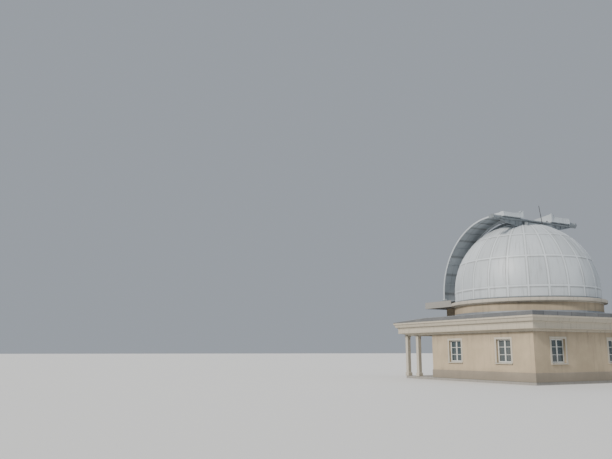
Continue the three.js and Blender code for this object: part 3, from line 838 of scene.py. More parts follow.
# %% Drum, coping and flashing
DRUM_OUT, DRUM_IN, DRUM_TOP = 4.05, 3.7, 4.15
drum_nodes = [f"drum_wall_{part}_{side}" for part in ("front", "back") for side in HANDS]
drum = turned(rectangle((DRUM_IN, ROOF_TOP), (DRUM_OUT, DRUM_TOP)))
build("drum_wall", drum, DRUM_RENDER, "masonry", replaces=drum_nodes)
coping = [
    (DRUM_IN, DRUM_TOP), (4.06, DRUM_TOP), *curve((4.06, 4.165), (4.07, 4.2), (4.14, 4.205)),
    (4.2, 4.205), (4.21, 4.22), (4.235, 4.22), (4.24, 4.205),
    *curve((4.255, 4.205), (4.272, 4.23), (COPING_OUT, 4.3)),
    *curve((COPING_OUT, 4.34), (COPING_OUT, 4.385), (4.22, 4.388)), (4.03, 4.398), (DRUM_IN, 4.4),
]
build("drum_coping_ring", turned(coping), COPING_STONE, "trim", replaces=["drum_coping"], crease=25.0)
flashing = [(4.045, 3.54), (4.13, 3.54), (4.128, 3.586), (4.062, 3.592), (4.056, 3.72), (4.045, 3.725)]
build("drum_flashing", turned(flashing), SHEET_ZINC, "steel", crease=25.0)

# %% [markdown]
# ## Porch posts
#
# A square post is like a turned one with only four sides: the same outline of half-widths and heights goes
# to all four corners. So it is carried round like the cornice, and the points that meet on the axis are
# welded.

# %% Posts
POST = [
    (0.0, FLOOR_TOP), (0.15, FLOOR_TOP), (0.15, 0.33),
    *curve((0.145, 0.345), (0.12, 0.35), (0.116, 0.38), steps=4),
    (0.11, 0.385), (0.11, 2.4), (0.12, 2.405), (0.12, 2.43), (0.112, 2.435), (0.112, 2.5),
    *curve((0.115, 2.51), (0.125, 2.55), (0.145, 2.555), steps=4),
    (0.15, 2.56), (0.15, 2.5997), (0.0, 2.5997),
]
DIAGONALS = [(1, -1, 0), (1, 1, 0), (-1, 1, 0), (-1, -1, 0)]
for name, place in {"corner": (3.76, -6.36, 0), "side": (3.76, -5.3, 0), "front": (1.3, -6.36, 0)}.items():
    post = welded(carry(POST, place, DIAGONALS, Z_AXIS, closed=True))
    node = f"porch_post_{name}_*"
    build_pair(f"{node}_dressed", post, DRESSED_STONE, "trim", "building", node, crease=25.0)

# %% [markdown]
# ## Windows
#
# All eight windows are alike, so one is made lying in its own plane, with u along the wall, v outwards and
# z up, and then set into each opening by the two level vectors of its wall. Surround, frame and bars are
# small boxes, and so is the sill but for its slope. The rounding of their edges makes them read as built.

# %% One window
PANE_FOOT, PANE_TOP, PANE_HALF = 1.05, 2.25, 0.5
SET_BACK = 0.152  # from the wall's face to the middle of the glass
BAND = 0.11  # width of the surround
STILE_IN = PANE_HALF - 0.065  # inner edge of a stile
RAIL_HALF = STILE_IN + 0.01
MEMBERS = [  # from u, to u, from z, to z, half of the depth
    (-PANE_HALF, -STILE_IN, PANE_FOOT, PANE_TOP, 0.035),
    (STILE_IN, PANE_HALF, PANE_FOOT, PANE_TOP, 0.035),
    (-RAIL_HALF, RAIL_HALF, PANE_FOOT + 0.001, PANE_FOOT + 0.08, 0.033),
    (-RAIL_HALF, RAIL_HALF, PANE_TOP - 0.065, PANE_TOP - 0.001, 0.033),
    (-0.04, 0.04, PANE_FOOT + 0.002, PANE_TOP - 0.002, 0.041),
    *((-RAIL_HALF, RAIL_HALF, height, height + 0.026, 0.022) for height in (1.45, 1.84)),
]
frame_shape = boxes(
    ((u0, -SET_BACK - deep, z0), (u1, deep - SET_BACK, z1)) for u0, u1, z0, z1, deep in MEMBERS
)
sill = along_x([(-0.13, 1.0), (0.07, 0.985), (0.07, 1.04), (-0.13, 1.068)], -0.6, 0.6)
upright = block((PANE_HALF, -0.004, 1.045), (PANE_HALF + BAND, 0.018, PANE_TOP + BAND))
lintel = block((-PANE_HALF, -0.004, PANE_TOP), (PANE_HALF, 0.018, PANE_TOP + BAND))
surround = join(sill, both(upright), lintel)

# %% Eight windows
AWAY, SIDE_AWAY = 2.15, 1.85  # how far a window is from the middle of its wall, and on the sides
OPENINGS = {  # those on the right: a place on the wall's face, and the way that the wall looks
    (AWAY, FRONT_FACE): (0, -1), (AWAY, BACK): (0, 1),
    (WALL_HALF, SIDE_AWAY): (1, 0), (WALL_HALF, -SIDE_AWAY): (1, 0),
}


def in_every_opening(shape):
    """Copies of a shape, moved from its own plane to the walls: u goes along a wall, v out of it. A window
    is alike on its left and right, so mirror images do for the left side."""
    points, faces = shape
    axes = {place: np.array([(y, -x, 0), (x, y, 0), Z_AXIS]) for place, (x, y) in OPENINGS.items()}
    return both(*((points @ turn + (*place, 0), faces) for place, turn in axes.items()))


build("window_frames", in_every_opening(frame_shape), WINDOW_PAINT, "frame", bevel=0.005)
build("window_surrounds", in_every_opening(surround), DRESSED_STONE, "trim", bevel=0.006)

# %% [markdown]
# ## Entrance doors
#
# A framed door is uprights and rails with thinner panels let in between them. The grain runs up the
# uprights and along the rails, which is why they are separate pieces with separate finishes. A panel is
# raised: a flat field with a sloping margin, which is a short stack of shrinking rectangles.

# %% Door leaves
DOOR_IN, DOOR_OUT, DOOR_TOP = 0.002, 0.6997, 2.3997  # x of its two edges, and its head
STILE = 0.11
FIELD = (DOOR_IN + STILE, DOOR_OUT - STILE)  # x between the stiles
RAILS = [(FLOOR_TOP, 0.36), (0.95, 1.1), (1.62, 1.72), (2.28, DOOR_TOP)]
PANEL = [  # inset and y of each rectangle, from the outer face to the inner
    (0.09, -3.724), (0.085, -3.722), (0.025, -3.706), (0.0, -3.706),
    (0.0, -3.694), (0.025, -3.694), (0.085, -3.678), (0.09, -3.676),
]


def raised_panel(x0, x1, z0, z1):
    """Outlines in the door's plane, each at its own depth and inset, joined as the stations of a path."""
    wide, high = (x1 - x0) / 2, (z1 - z0) / 2
    origins = [(x0 + wide, y, z0 + high) for _, y in PANEL]
    sides = [(wide - inset, 0, 0) for inset, _ in PANEL]
    ups = [(0, 0, high - inset) for inset, _ in PANEL]
    return carry(rectangle((-1, -1), (1, 1)), origins, sides, ups)


stiles = boxes(
    ((x0, -3.73, FLOOR_TOP), (x1, -3.67, DOOR_TOP)) for x0, x1 in ((DOOR_IN, FIELD[0]), (FIELD[1], DOOR_OUT))
)
panels = [
    raised_panel(FIELD[0] - 0.01, FIELD[1] + 0.01, below[1] - 0.01, above[0] + 0.01)
    for below, above in zip(RAILS, RAILS[1:])
]
rails = boxes(((FIELD[0], -3.729, z0), (FIELD[1], -3.671, z1)) for z0, z1 in RAILS)
door_leaf = join(stiles, *panels)
DOOR_EDGES = {"bevel": 0.004, "crease": 12.0}
build_pair("door_leaf_*", door_leaf, OAK_UPRIGHT, "door", "building", "entrance_door_*", **DOOR_EDGES)
build("door_rails", both(rails), OAK_ACROSS, "door", bevel=0.004)

# %% Door fittings and casing
KNOB = [
    (0, 0.03), (0.08, 0.03), (0.14, 0.012), (0.45, 0.011), (0.55, 0.022), (0.75, 0.031), (0.92, 0.024),
    (1, 0.01),
]
HINGE = [(0, 0.006), (0.05, 0.009), (0.48, 0.009), (0.5, 0.007), (0.52, 0.009), (0.95, 0.009), (1, 0.006)]
knob = spindle((0.075, -3.735, 1.12), (0.075, -3.81, 1.12), KNOB)
plate = block((0.045, -3.738, 1.0), (0.105, -3.729, 1.24))
hinges = [spindle((0.692, -3.742, z), (0.692, -3.742, z + 0.12), HINGE, 12) for z in (0.4, 1.25, 2.1)]
build("door_fittings", both(knob, plate, *hinges), HANDLE_STEEL, "steel", crease=40.0)

CASING_FRONT, CASING_BACK, HEADER = -3.878, -3.846, 2.53
jambs = both(block((0.7, CASING_FRONT, FLOOR_TOP), (0.83, CASING_BACK, HEADER)))
lintel = block((-0.7, CASING_FRONT, 2.4), (0.7, CASING_BACK, HEADER))
shelf = block((-0.9, -3.9, HEADER), (0.9, CASING_BACK, 2.58))
build("door_casing", join(jambs, lintel, shelf), DRESSED_STONE, "trim", bevel=0.006)
step = block((-0.85, -4.15, FLOOR_TOP), (0.85, -3.852, 0.168))
build("door_step", step, DRESSED_STONE, "trim", bevel=0.006)

# %% [markdown]
# ## Skin of the dome
#
# A dome is sheeted in gores, curved triangles between two meridians. The grid of a gore has one column for
# each meridian: straight up the skirt, then round the sphere, and it stops where the meridian meets the
# slit. So the edge of the sheet lies exactly on the slit's sides, with no boolean cut. A sphere from the
# menu, cut open, would leave ragged triangles there.

# %% Meridians
RADIUS = 4.0
SKIRT_FOOT = 4.42
SLIT_SIDE = 1.0003
SLIT_BACK = 1.4203


def meets_slit(azimuths, radius):
    """The distance from the axis at which a meridian meets the slit: its side at sideways distance
    SLIT_SIDE, or its end at SLIT_BACK behind the axis, whichever is nearer."""
    a = np.radians(azimuths)
    to_side = SLIT_SIDE / np.maximum(np.abs(np.sin(a)), 1e-9)
    to_end = SLIT_BACK / np.maximum(-np.cos(a), 1e-9)
    return np.minimum(np.minimum(to_side, to_end), radius)


def on_dome(azimuths, radius=RADIUS, foot=SKIRT_FOOT, rows=48):
    """A grid of points and normals: a row for each height and a column for each azimuth. Above the spring
    line a point is at angle t of its meridian: radius cos t from the axis and radius sin t up."""
    azimuths = np.atleast_1d(np.asarray(azimuths, float))
    top = np.arccos(meets_slit(azimuths, radius) / radius)
    t = np.linspace(0, 1, rows)[:, None] * top
    out = around_azimuth(azimuths)
    normals = np.cos(t)[..., None] * out + np.sin(t)[..., None] * Z_AXIS
    levels = np.linspace(foot, SPRING, 4)[:-1, None, None]
    below = radius * out + levels * Z_AXIS
    above = radius * normals + SPRING * Z_AXIS
    return np.concatenate([below, above]), np.concatenate([np.broadcast_to(out, below.shape), normals])


# %% Six sheets and the sill
SHEET = 0.006
LOW = math.degrees(math.asin(SLIT_SIDE / RADIUS))  # azimuth of the slit's side at the skirt


def gore_columns(start, end):
    """Azimuths every degree and a half, and closer where the slit's side cuts the meridians low."""
    cut = np.degrees(np.arcsin(SLIT_SIDE / RADIUS / np.cos(np.radians(np.linspace(0, 74, 38)))))
    corner = 180 - math.degrees(math.atan2(SLIT_SIDE, SLIT_BACK))
    every = np.linspace(start, end, round((end - start) / 1.5) + 1)
    together = np.unique(np.concatenate([every, cut, 180 - cut, [corner]]))
    return together[(together >= max(start, LOW)) & (together <= end)]


for part, ends in {"front": (0, 75), "side": (75, 130), "back": (130, 180)}.items():
    columns = gore_columns(*ends)
    sheet = welded(thick(on_dome(columns)[0], on_dome(columns, RADIUS - SHEET)[0]))
    node = f"shell_{part}_*"
    build_pair(f"{node}_sheet", sheet, DOME_PAINT, "shell", "dome", node, crease=40.0)

sill_reach = math.degrees(math.asin(0.9197 / RADIUS))
sill_outline = rectangle((RADIUS - 0.04, SKIRT_FOOT), (RADIUS, 4.75))
sill_sheet = turned(sill_outline, np.linspace(-sill_reach, sill_reach, 25))
build("slit_sill_sheet", sill_sheet, DOME_PAINT, "shell", "dome", ["slit_sill"], bevel=0.004)

# %% [markdown]
# ## Seams, hoops and rivets
#
# The sheets butt together under straps, which are riveted on both edges. Along a meridian a strap is a flat
# outline carried up the path of `on_dome`. The level hoops are the same outline, carried round. Inside the
# dome the same paths carry the ribs that hold the sheets. Thousands of rivets stay cheap because each has
# only a few faces, and all their points come from one array sum.

# %% Straps and ribs
STRAP = [(-0.045, -0.002), (0.045, -0.002), (0.045, 0.005), (0.042, 0.008), (-0.042, 0.008), (-0.045, 0.005)]
RIB = [
    (-0.004, -0.059), (-0.004, -0.008), (0.004, -0.008), (0.004, -0.059),
    (0.025, -0.059), (0.025, -0.065), (-0.025, -0.065), (-0.025, -0.059),
]
SEAMS = np.arange(30.0, 180.0, SEAM_STEP)
RIB_FOOT = 4.66


def meridian_strip(azimuth, outline, foot):
    """An outline carried up one meridian: its side points round the dome, its up points out."""
    points, normals = on_dome(azimuth, foot=foot, rows=60)
    return carry(outline, points[:, 0], around_azimuth(azimuth + 90.0), normals[:, 0])


def hoop_azimuths(angle):
    """Where a level hoop runs on the right side: from the slit's side to the back, or to the slit again."""
    level = RADIUS * math.cos(math.radians(angle))
    start = math.degrees(math.asin(SLIT_SIDE / level))
    end = 180.0 - start if level < math.hypot(SLIT_SIDE, SLIT_BACK) else 180.0
    return np.linspace(start, end, round((end - start) / 1.5))


def on_hoop(angle, azimuths):
    """Points at one angle above the spring line, with the directions up the meridian and outwards there."""
    t = math.radians(angle)
    out = around_azimuth(azimuths)
    normals = math.cos(t) * out + math.sin(t) * Z_AXIS
    return RADIUS * normals + SPRING * Z_AXIS, math.cos(t) * Z_AXIS - math.sin(t) * out, normals


def over_dome(outline, foot=SKIRT_FOOT):
    """An outline carried up every seam and round every hoop."""
    strips = [meridian_strip(azimuth, outline, foot) for azimuth in SEAMS]
    strips += [carry(outline, *on_hoop(angle, hoop_azimuths(angle))) for angle in HOOPS]
    return join(both(*strips), meridian_strip(180.0, outline, foot))


build("dome_straps", over_dome(STRAP), STRAP_PAINT, "shell", "dome")
build("dome_ribs", over_dome(RIB, RIB_FOOT), FRAME_PAINT, "frame", "dome")

# %% Rivets of the dome
RIVET_PITCH = 0.14
RIVET_RADIUS = 0.009
RIVET_AWAY = 0.028  # from the strap's middle
STRAP_PROUD = 0.007


def two_rows(points, side, normals):
    """Places and normals of rivets on a strap: a row at each side of the points on its middle."""
    normals = np.broadcast_to(normals, points.shape)
    middle = points + STRAP_PROUD * normals
    places = np.concatenate([middle + RIVET_AWAY * side, middle - RIVET_AWAY * side])
    return places, np.concatenate([normals, normals])


def meridian_rivets(azimuth):
    """At even distances up a meridian. The distance so far is the sum of the steps between its points."""
    path = np.concatenate(on_dome(azimuth, foot=SKIRT_FOOT + 0.04, rows=120), axis=-1)[:, 0]
    steps = np.linalg.norm(np.diff(path[:, :3], axis=0), axis=1)
    length = np.concatenate([[0], np.cumsum(steps)])
    even = np.arange(0.0, length[-1] - 0.05, RIVET_PITCH)
    at = np.stack([np.interp(even, length, part) for part in path.T], axis=-1)
    return two_rows(at[:, :3], around_azimuth(azimuth + 90.0), at[:, 3:])


def hoop_rivets(angle):
    start, end = hoop_azimuths(angle)[[0, -1]]
    length = math.radians(end - start) * RADIUS * math.cos(math.radians(angle))
    return two_rows(*on_hoop(angle, np.linspace(start, end, round(length / RIVET_PITCH))[1:-1]))


rows = [meridian_rivets(azimuth) for azimuth in SEAMS] + [hoop_rivets(angle) for angle in HOOPS]
places, facing = (np.concatenate(parts) for parts in zip(*rows))
dome_studs = studs(places, facing, RIVET_RADIUS, 0.006)
build("dome_rivets", both(dome_studs), STRAP_PAINT, "shell", "dome", crease=60.0)

# %% Band at the skirt's foot
band_outline = [(3.995, SKIRT_FOOT), (4.009, SKIRT_FOOT), (4.009, 4.47), (4.004, 4.475), (3.995, 4.475)]
band = turned(band_outline, np.linspace(LOW, 360 - LOW, 200))
build("skirt_band", band, FRAME_PAINT, "frame", "dome")

# %% [markdown]
# ## Coamings and shutter leaves
#
# A coaming and a leaf follow the same kind of path: straight up at the front, then round the X axis over
# the top. On that path an outline has x as its side and the distance from the X axis through the sphere's
# centre as its up. The leaf is a barrel skin with an edge angle along each side and stiffeners across.

# %% The path over the slit


def around_x(degrees):
    """At an angle from the front round the X axis: the way outwards, and the way the angle grows."""
    t = np.radians(degrees)
    out = np.stack([0.0 * t, -np.cos(t), np.sin(t)], axis=-1)
    forward = np.stack([0.0 * t, np.sin(t), np.cos(t)], axis=-1)
    return out, forward


def over_slit(foot, reach, radius):
    """Stations from a foot at the front to a given reach behind the axis, every two degrees."""
    levels = np.linspace(foot, SPRING, 4)[:-1]
    end = math.degrees(math.acos(-reach / radius))
    angles = np.linspace(0, end, round(end / 2) + 1)
    heights = np.concatenate([levels, np.full(len(angles), SPRING)])
    ups, _ = around_x(np.concatenate([0 * levels, angles]))
    return heights[:, None] * Z_AXIS, ups


def band_over_slit(outline, foot, reach, radius):
    origins, ups = over_slit(foot, reach, radius)
    return carry(outline, origins, (1, 0, 0), ups)


# %% Coamings
COAMING_FOOT, COAMING_END = 4.6503, 1.42
SECTIONS = [  # the beam, the flange over it and the flange under it: two corners, and the radius of its end
    ((0.92, 3.72), (1.0, 4.045), 4.0),
    ((0.9, 4.045), (1.03, 4.053), 4.0),
    ((0.912, 3.715), (1.008, 3.724), 3.72),
]
bands = [
    band_over_slit(rectangle(low, high), COAMING_FOOT, COAMING_END, radius) for low, high, radius in SECTIONS
]
coaming = join(*bands, block((0.922, -4.05, 4.45), (0.998, -3.86, 4.66)))
build_pair("coaming_*_beam", coaming, FRAME_PAINT, "frame", "dome", "coaming_*", bevel=0.003)

# %% Barrel skin of a leaf
LEAF_IN, LEAF_SIDE = 1.06, 2.5  # x of its two edges
LEAF_FOOT = 4.71
LEAF_END = 0.93
SKIN = 0.006
WEB_INNER = 4.062  # just clear of the coaming
WEB_AT = (81.5, 101.0)  # degrees from the front


def leaf_band(low, high):
    return band_over_slit(rectangle(low, high), LEAF_FOOT, LEAF_END, LEAF_OUT)


def edge_angle(x0, x1, depth):
    """A rib along an edge: a web down from the skin and a foot turned inwards."""
    inner = LEAF_OUT - depth
    web = leaf_band((x0, inner), (x0 + 0.008, LEAF_OUT - SKIN / 2))
    return join(web, leaf_band((x0, inner), (x1, inner + 0.008)))


def deep_web():
    """Under the head, where a leaf is held, the web of its inner edge reaches down to the coaming."""
    ups, _ = around_x(np.linspace(*WEB_AT, 12))
    web = rectangle((LEAF_IN + 0.001, WEB_INNER), (LEAF_IN + 0.007, 4.12))
    return carry(web, SPRING * Z_AXIS, (1, 0, 0), ups)


skin = leaf_band((LEAF_IN, LEAF_OUT - SKIN), (LEAF_SIDE, LEAF_OUT))
inner_edge = edge_angle(LEAF_IN + 0.0005, LEAF_IN + 0.05, 0.155)
outer_edge = edge_angle(LEAF_SIDE - 0.0085, LEAF_SIDE - 0.05, 0.08)

# %% Straps, stiffeners and rivets of a leaf
STIFFENER = [
    (-0.003, -0.05), (-0.003, -0.007), (0.003, -0.007), (0.003, -0.044), (0.03, -0.044), (0.03, -0.05)
]


def across_leaf(degrees, outline, inset=0.0):
    """An outline carried across the leaf at an angle from the front: its side points round, its up out."""
    out, forward = around_x(degrees)
    ends = [LEAF_OUT * out + (x, 0, SPRING) for x in (LEAF_IN + inset, LEAF_SIDE - inset)]
    return carry(outline, ends, forward, out)


def leaf_rivets(degrees):
    """Rivets across the leaf, on the strap at an angle."""
    out, forward = around_x(degrees)
    along = np.linspace(LEAF_IN + 0.06, LEAF_SIDE - 0.06, 11)[:, None] * (1, 0, 0)
    middle = along + LEAF_OUT * out + (0, 0, SPRING)
    return studs(*two_rows(middle, forward, out), RIVET_RADIUS, 0.005)


stiffeners = [across_leaf(angle, STIFFENER, 0.01) for angle in LEAF_SEAMS + LEAF_STEP / 2]
leaf_straps = join(*(across_leaf(angle, STRAP) for angle in LEAF_SEAMS))

origins, ups = over_slit(LEAF_FOOT + 0.05, LEAF_END - 0.05, LEAF_OUT)
edge_rows = [
    studs(origins + LEAF_OUT * ups + (x, 0, 0), ups, RIVET_RADIUS, 0.005)
    for x in (LEAF_IN + 0.025, LEAF_SIDE - 0.025)
]

# %% Foot of a leaf
TROLLEYS = ((1.075, 1.275), (2.33, 2.53))  # from x, to x
TROLLEY = [(-4.3, 4.714), (-4.3, 4.81), (-4.285, 4.835), (-4.18, 4.835), (-4.165, 4.81), (-4.165, 4.714)]

foot_parts = [
    block((LEAF_IN + 0.002, -4.268, LEAF_FOOT), (LEAF_SIDE - 0.002, -4.19, LEAF_FOOT + 0.012)),
    block((LEAF_IN + 0.01, -4.276, LEAF_FOOT + 0.002), (LEAF_SIDE - 0.01, -4.268, LEAF_FOOT + 0.09)),
    *(along_x(TROLLEY, *ends) for ends in TROLLEYS),
]
axles = [(x + dx, -4.299, 4.755) for x, _ in TROLLEYS for dx in (0.05, 0.15)]
axle_heads = studs(axles, (0, -1, 0), 0.016, 0.014, DOMED, 16)

# %% [markdown]
# ## Heads of the leaves
#
# A leaf's head is a box that hangs on the cross rail, with a roof that slopes up from the skin, a pointed
# plate at its inner end, and a post and a brace behind the plate. In the photograph the head on the +X side
# stands a little lower than the other, so its height is an argument.

# %% Head of a leaf
HEAD_IN, HEAD_OUT = 1.2, 2.65  # x of its two ends
HEAD_FOOT, HEAD_TOP, HEAD_BACK = 9.0604, 9.385, 1.268
PLATE_FRONT, PLATE_PEAK = (-0.12, 9.43), (1.27, 9.56)
ROOF_FROM, ROOF_TO = 0.5, 1.13  # the y where the sloping roof starts and ends
FOOT_FROM = 0.966  # the y where the foot over the rail starts
LID_AT = 0.82  # the y of the middle of the roof's lid
KERB = 0.045  # how far the roof's front edge stands over the skin
HEAD_DROP = {"right": 0.085, "left": 0.0}
LEAN_IN = 0.048  # of the rear face, from its foot to its top


def skin_top(y):
    return SPRING + math.sqrt(LEAF_OUT**2 - y**2)


def leaf_head(drop):
    """Box, end plate, pointed plate, its post and its brace. Their upper edges lie lower by drop."""
    top = HEAD_TOP - drop
    eaves = skin_top(ROOF_FROM) + KERB
    slope = (top - eaves) / (ROOF_TO - ROOF_FROM)
    foot = HEAD_FOOT + 0.002
    box = [
        (HEAD_BACK, foot), (FOOT_FROM, foot), (0.896, skin_top(0.896) - 0.02),
        (ROOF_FROM, skin_top(ROOF_FROM) - 0.02), (ROOF_FROM, eaves), (ROOF_TO, top), (1.22, top),
    ]
    end = [
        (FOOT_FROM, HEAD_FOOT), (1.274, HEAD_FOOT), (1.274, foot + 0.04), (1.227, top + 0.01),
        (ROOF_TO, top + 0.026), (FOOT_FROM, eaves + slope * (FOOT_FROM - ROOF_FROM) + 0.01),
    ]
    (y0, z0), (y1, z1) = PLATE_FRONT, PLATE_PEAK
    front, peak = z0 - drop, z1 - drop
    plate = [
        (y1, HEAD_FOOT), (0.965, HEAD_FOOT), (0.895, skin_top(0.895) - 0.02), (y0, skin_top(y0) - 0.02),
        (y0, front), (y1, peak),
    ]
    plate_edge = [(y0, front - 0.012), (y0, front), (y1, peak), (y1, peak - 0.012)]
    brace = [
        (1.215, top - 0.02), (1.5, top - 0.02), (1.5, top - 0.01), (1.26, peak - 0.01), (1.215, peak - 0.01)
    ]
    brace_edge = [(1.5, top - 0.012), (1.506, top - 0.004), (1.266, peak - 0.004), (1.26, peak - 0.012)]
    along = np.array([0, 1.0, slope]) / math.hypot(1.0, slope)
    lid_at = [(x, LID_AT, eaves + slope * (LID_AT - ROOF_FROM)) for x in (1.5, 2.45)]
    return join(
        along_x(box, HEAD_IN + 0.01, HEAD_OUT - 0.01),
        along_x(end, HEAD_OUT - 0.014, HEAD_OUT),
        along_x(plate, HEAD_IN, HEAD_IN + 0.022),
        along_x(plate_edge, HEAD_IN - 0.003, HEAD_IN + 0.062),
        block((HEAD_IN - 0.092, 1.232, HEAD_FOOT + 0.01), (HEAD_IN + 0.002, HEAD_BACK, peak - 0.004)),
        along_y(brace, 1.2, 1.212),
        along_y(brace_edge, 1.186, 1.226),
        carry(rectangle((-0.22, -0.002), (0.22, 0.01)), lid_at, along, np.cross((1, 0, 0), along)),
    )


def head_bolts(drop):
    """Two rows on the rear face."""
    top = HEAD_TOP - drop
    lean = LEAN_IN / (top - HEAD_FOOT)
    rows = (HEAD_FOOT + 0.04, top - 0.035)
    xs = np.linspace(HEAD_IN + 0.08, HEAD_OUT - 0.08, 10)
    places = [(x, HEAD_BACK - lean * (z - HEAD_FOOT), z) for z in rows for x in xs]
    return bolts(places, np.array([0, 1.0, lean]) / math.hypot(1.0, lean), 0.014, 0.012)


# %% Both leaves
FLANGE = [(0.0, 0.08), (0.05, 0.085), (0.1, 0.085), (0.12, 0.055)]
WHEEL = FLANGE + [(1.0 - share, radius) for share, radius in reversed(FLANGE)]
WHEEL_Z = 9.118
wheels = join(*(spindle((x, 0.955, WHEEL_Z), (x, 1.165, WHEEL_Z), WHEEL, 32) for x in (1.4, 2.4)))

for side, hand in HANDS.items():
    leaf, body, drop = f"shutter_leaf_{side}", f"shutter_{side}", HEAD_DROP[side]
    framing = join(inner_edge, outer_edge, deep_web(), *stiffeners, *foot_parts, leaf_head(drop))
    fixings = join(*(leaf_rivets(angle) for angle in LEAF_SEAMS), *edge_rows, axle_heads, head_bolts(drop))
    build(f"{leaf}_skin", hand(skin), LEAF_PAINT, "shutter", body, [leaf])
    build(f"{leaf}_framing", hand(framing), LEAF_STRAP_PAINT, "shutter", body)
    build(f"{leaf}_straps", hand(leaf_straps), LEAF_STRAP_PAINT, "shutter", body)
    build(f"{leaf}_rivets", hand(fixings), LEAF_STRAP_PAINT, "shutter", body, crease=60.0)
    build(f"{leaf}_wheels", hand(wheels), ZINC, "steel", body)

# %% [markdown]
# ## Rails
#
# The leaves run on two rails. The upper one is a steel tube behind the crown, with a housing at its far
# end, a smaller cap and an end plate at its near end, and a tapering bracket under each side. The lower
# one is a channel across the foot of the slit, held off the dome by four arms. A tube is a round bar, and a
# channel is its own section carried along X.

# %% Cross rail
RAIL_Y, RAIL_Z, RAIL_R = 1.06, 8.98, 0.08
RAIL_END, FAR_END, RAIL_FROM = 3.42, -3.4, 2.66  # x of its ends, and where cap and housing start
HOUSING_Z, CAP_Z = 9.082, 9.0
CAP = [
    (0, 0.085), (0.02, 0.105), (0.05, 0.11), (0.09, 0.11), (0.1, 0.1), (0.62, 0.1), (0.63, 0.11),
    (0.98, 0.11), (0.99, 0.107), (1, 0.1),
]
HOUSING = [
    (0, 0.1), (0.02, 0.14), (0.05, 0.15), (0.09, 0.15), (0.1, 0.138), (0.3, 0.138), (0.31, 0.148),
    (0.36, 0.148), (0.37, 0.138), (0.66, 0.138), (0.67, 0.15), (0.86, 0.15), (0.93, 0.136), (0.98, 0.108),
    (1, 0.06),
]


def rail_part(x0, x1, z, stations):
    return spindle((x0, RAIL_Y, z), (x1, RAIL_Y, z), stations, 48)


pipe = rail_part(-3.35, 3.35, RAIL_Z, [(0, RAIL_R), (1, RAIL_R)])
cap = rail_part(RAIL_FROM, RAIL_END - 0.01, CAP_Z, CAP)
housing = rail_part(-RAIL_FROM, FAR_END, HOUSING_Z, HOUSING)
end_plate = block((RAIL_END - 0.016, 0.87, 8.885), (RAIL_END, 1.25, 9.1))
spokes = around_azimuth(np.arange(0, 360, 30.0))[:, [2, 0, 1]]
rail_bolts = join(
    bolts(np.array([-3.2, RAIL_Y, HOUSING_Z]) + spokes * 0.148, spokes, 0.011, 0.012),
    bolts(np.array([3.2, RAIL_Y, CAP_Z]) + spokes * 0.108, spokes, 0.01, 0.01),
    bolts([(RAIL_END, y, z) for y in (0.91, 1.21) for z in (8.92, 9.07)], (1, 0, 0), 0.016, 0.014),
)

# %% Brackets of the cross rail
BRACKET_ROOT, BRACKET_TIP = (1.46, 8.566), (2.9, 8.876)  # x and z of its lower edge


def bracket():
    """A web cut to the dome's curve, a chord along its lower edge, and stiffeners up to the tube."""
    (x0, z0), (x1, z1) = BRACKET_ROOT, BRACKET_TIP
    xs = np.linspace(SLIT_SIDE, x0 - 0.03, 12)
    foot = np.stack([xs, SPRING + np.sqrt(RADIUS**2 - xs**2 - RAIL_Y**2) - 0.004], axis=-1)
    web = along_y([*foot, (x1, z1 + 0.02), (x1 - 0.1, RAIL_Z), (SLIT_SIDE, RAIL_Z)], 1.052, 1.068)
    chord = along_y([(x0, z0), (x1, z1), (x1, z1 + 0.035), (x0 - 0.055, z0 + 0.023)], 1.015, 1.105)
    shoe = ((SLIT_SIDE, 0.99, 8.55), (SLIT_SIDE + 0.012, 1.13, 8.93))
    stiffeners = [((x, 1.02, z), (x + 0.01, 1.1, 8.95)) for x, z in ((1.6, 8.61), (2.05, 8.71), (2.5, 8.81))]
    return join(web, chord, boxes([shoe, *stiffeners]))


rail = join(pipe, cap, housing, end_plate, both(bracket()))
build("cross_rail_tube", rail, FRAME_PAINT, "frame", "dome", ["cross_rail"], crease=28.0)
build("cross_rail_bolts", rail_bolts, ZINC, "steel", "dome")

# %% Lower rail
BEAM_TOP, BEAM_FOOT, BEAM_HALF = 4.7096, 4.63, 2.57
CHANNEL = [
    (-4.29, BEAM_FOOT), (-4.17, BEAM_FOOT), (-4.17, BEAM_FOOT + 0.01), (-4.28, BEAM_FOOT + 0.01),
    (-4.28, BEAM_TOP - 0.01), (-4.17, BEAM_TOP - 0.01), (-4.17, BEAM_TOP), (-4.29, BEAM_TOP),
]
PAD_AT = math.degrees(math.asin(2.41 / RADIUS))  # azimuth of the outer arm


def arm(x0, x1):
    """A bar from the channel to the dome. Its end follows the skirt, or stops at the coaming."""
    ends = [-4.05, -4.05] if x1 <= 1.0 else [-math.sqrt((RADIUS + 0.004) ** 2 - x**2) for x in (x1, x0)]
    plan = [(x0, -4.275), (x1, -4.275), (x1, ends[0]), (x0, ends[1])]
    return carry(plan, [(0, 0, 4.632), (0, 0, 4.682)], (1, 0, 0), (0, 1, 0))


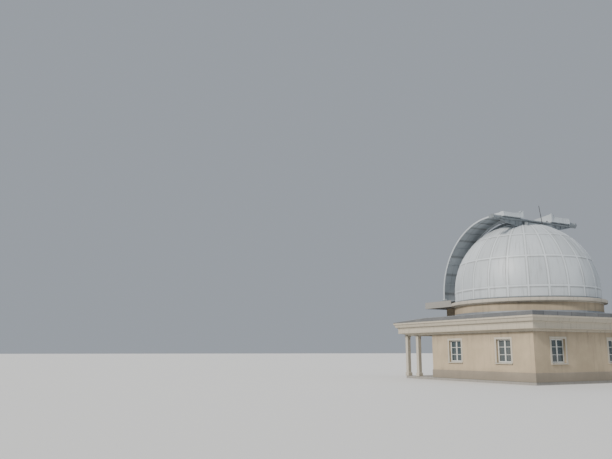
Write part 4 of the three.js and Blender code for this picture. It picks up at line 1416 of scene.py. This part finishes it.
pad = turned(rectangle((RADIUS - 0.002, 4.57), (RADIUS + 0.012, 4.75)), PAD_AT + np.linspace(-2.3, 2.3, 5))
webs = [
    ((x, -4.284, BEAM_FOOT + 0.005), (x + 0.008, -4.172, BEAM_TOP - 0.005))
    for x in (0.45, 1.35, 1.85, BEAM_HALF - 0.012)
]
coaming_pad = ((0.9, -4.062, 4.58), (1.02, -4.046, 4.74))
end_stop = ((BEAM_HALF - 0.028, -4.288, BEAM_TOP - 0.005), (BEAM_HALF, -4.172, BEAM_TOP + 0.045))
beam_side = both(arm(0.92, 1.0), arm(2.37, 2.45), pad, boxes([coaming_pad, end_stop, *webs]))
beam = join(along_x(CHANNEL, -BEAM_HALF, BEAM_HALF), beam_side)
build("lower_rail_beam", beam, FRAME_PAINT, "frame", "dome", ["lower_rail"], bevel=0.002)

bolt_outs = around_azimuth(PAD_AT + np.array([-1.75, 1.75]))
arm_bolts = both(
    bolts([(x, -4.062, z) for x in (0.912, 1.008) for z in (4.6, 4.72)], (0, -1, 0), 0.01, 0.01),
    *(bolts(bolt_outs * 4.012 + (0, 0, z), bolt_outs, 0.01, 0.01) for z in (4.595, 4.725)),
)
build("lower_rail_bolts", arm_bolts, ZINC, "steel", "dome")

# %% [markdown]
# ## Lightning rod
#
# A steel rod, thinner towards its point, stands in a socket on the transom behind the slit. It leans, as
# in the photograph, towards the near side.

# %% Lightning rod
ROD_FOOT = np.array([-0.19, 1.38, 8.8303])
LEAN = math.radians(10.0)
ROD_LENGTH = 1.068
ROD = [(0, 0.02), (0.45, 0.02), (0.46, 0.025), (0.48, 0.025), (0.49, 0.019), (0.97, 0.018), (1, 0.006)]
SOCKET = [(0, 0.038), (0.25, 0.038), (0.26, 0.03), (0.9, 0.028), (1, 0.022)]
rod_top = ROD_FOOT + ROD_LENGTH * np.array([math.sin(LEAN), 0, math.cos(LEAN)])
rod = spindle(ROD_FOOT, rod_top, ROD, 16)
socket = spindle(ROD_FOOT - 0.03 * Z_AXIS, ROD_FOOT + 0.03 * Z_AXIS, SOCKET)
build("lightning_rod_bar", join(rod, socket), ROD_STEEL, "steel", "dome", ["lightning_rod"])
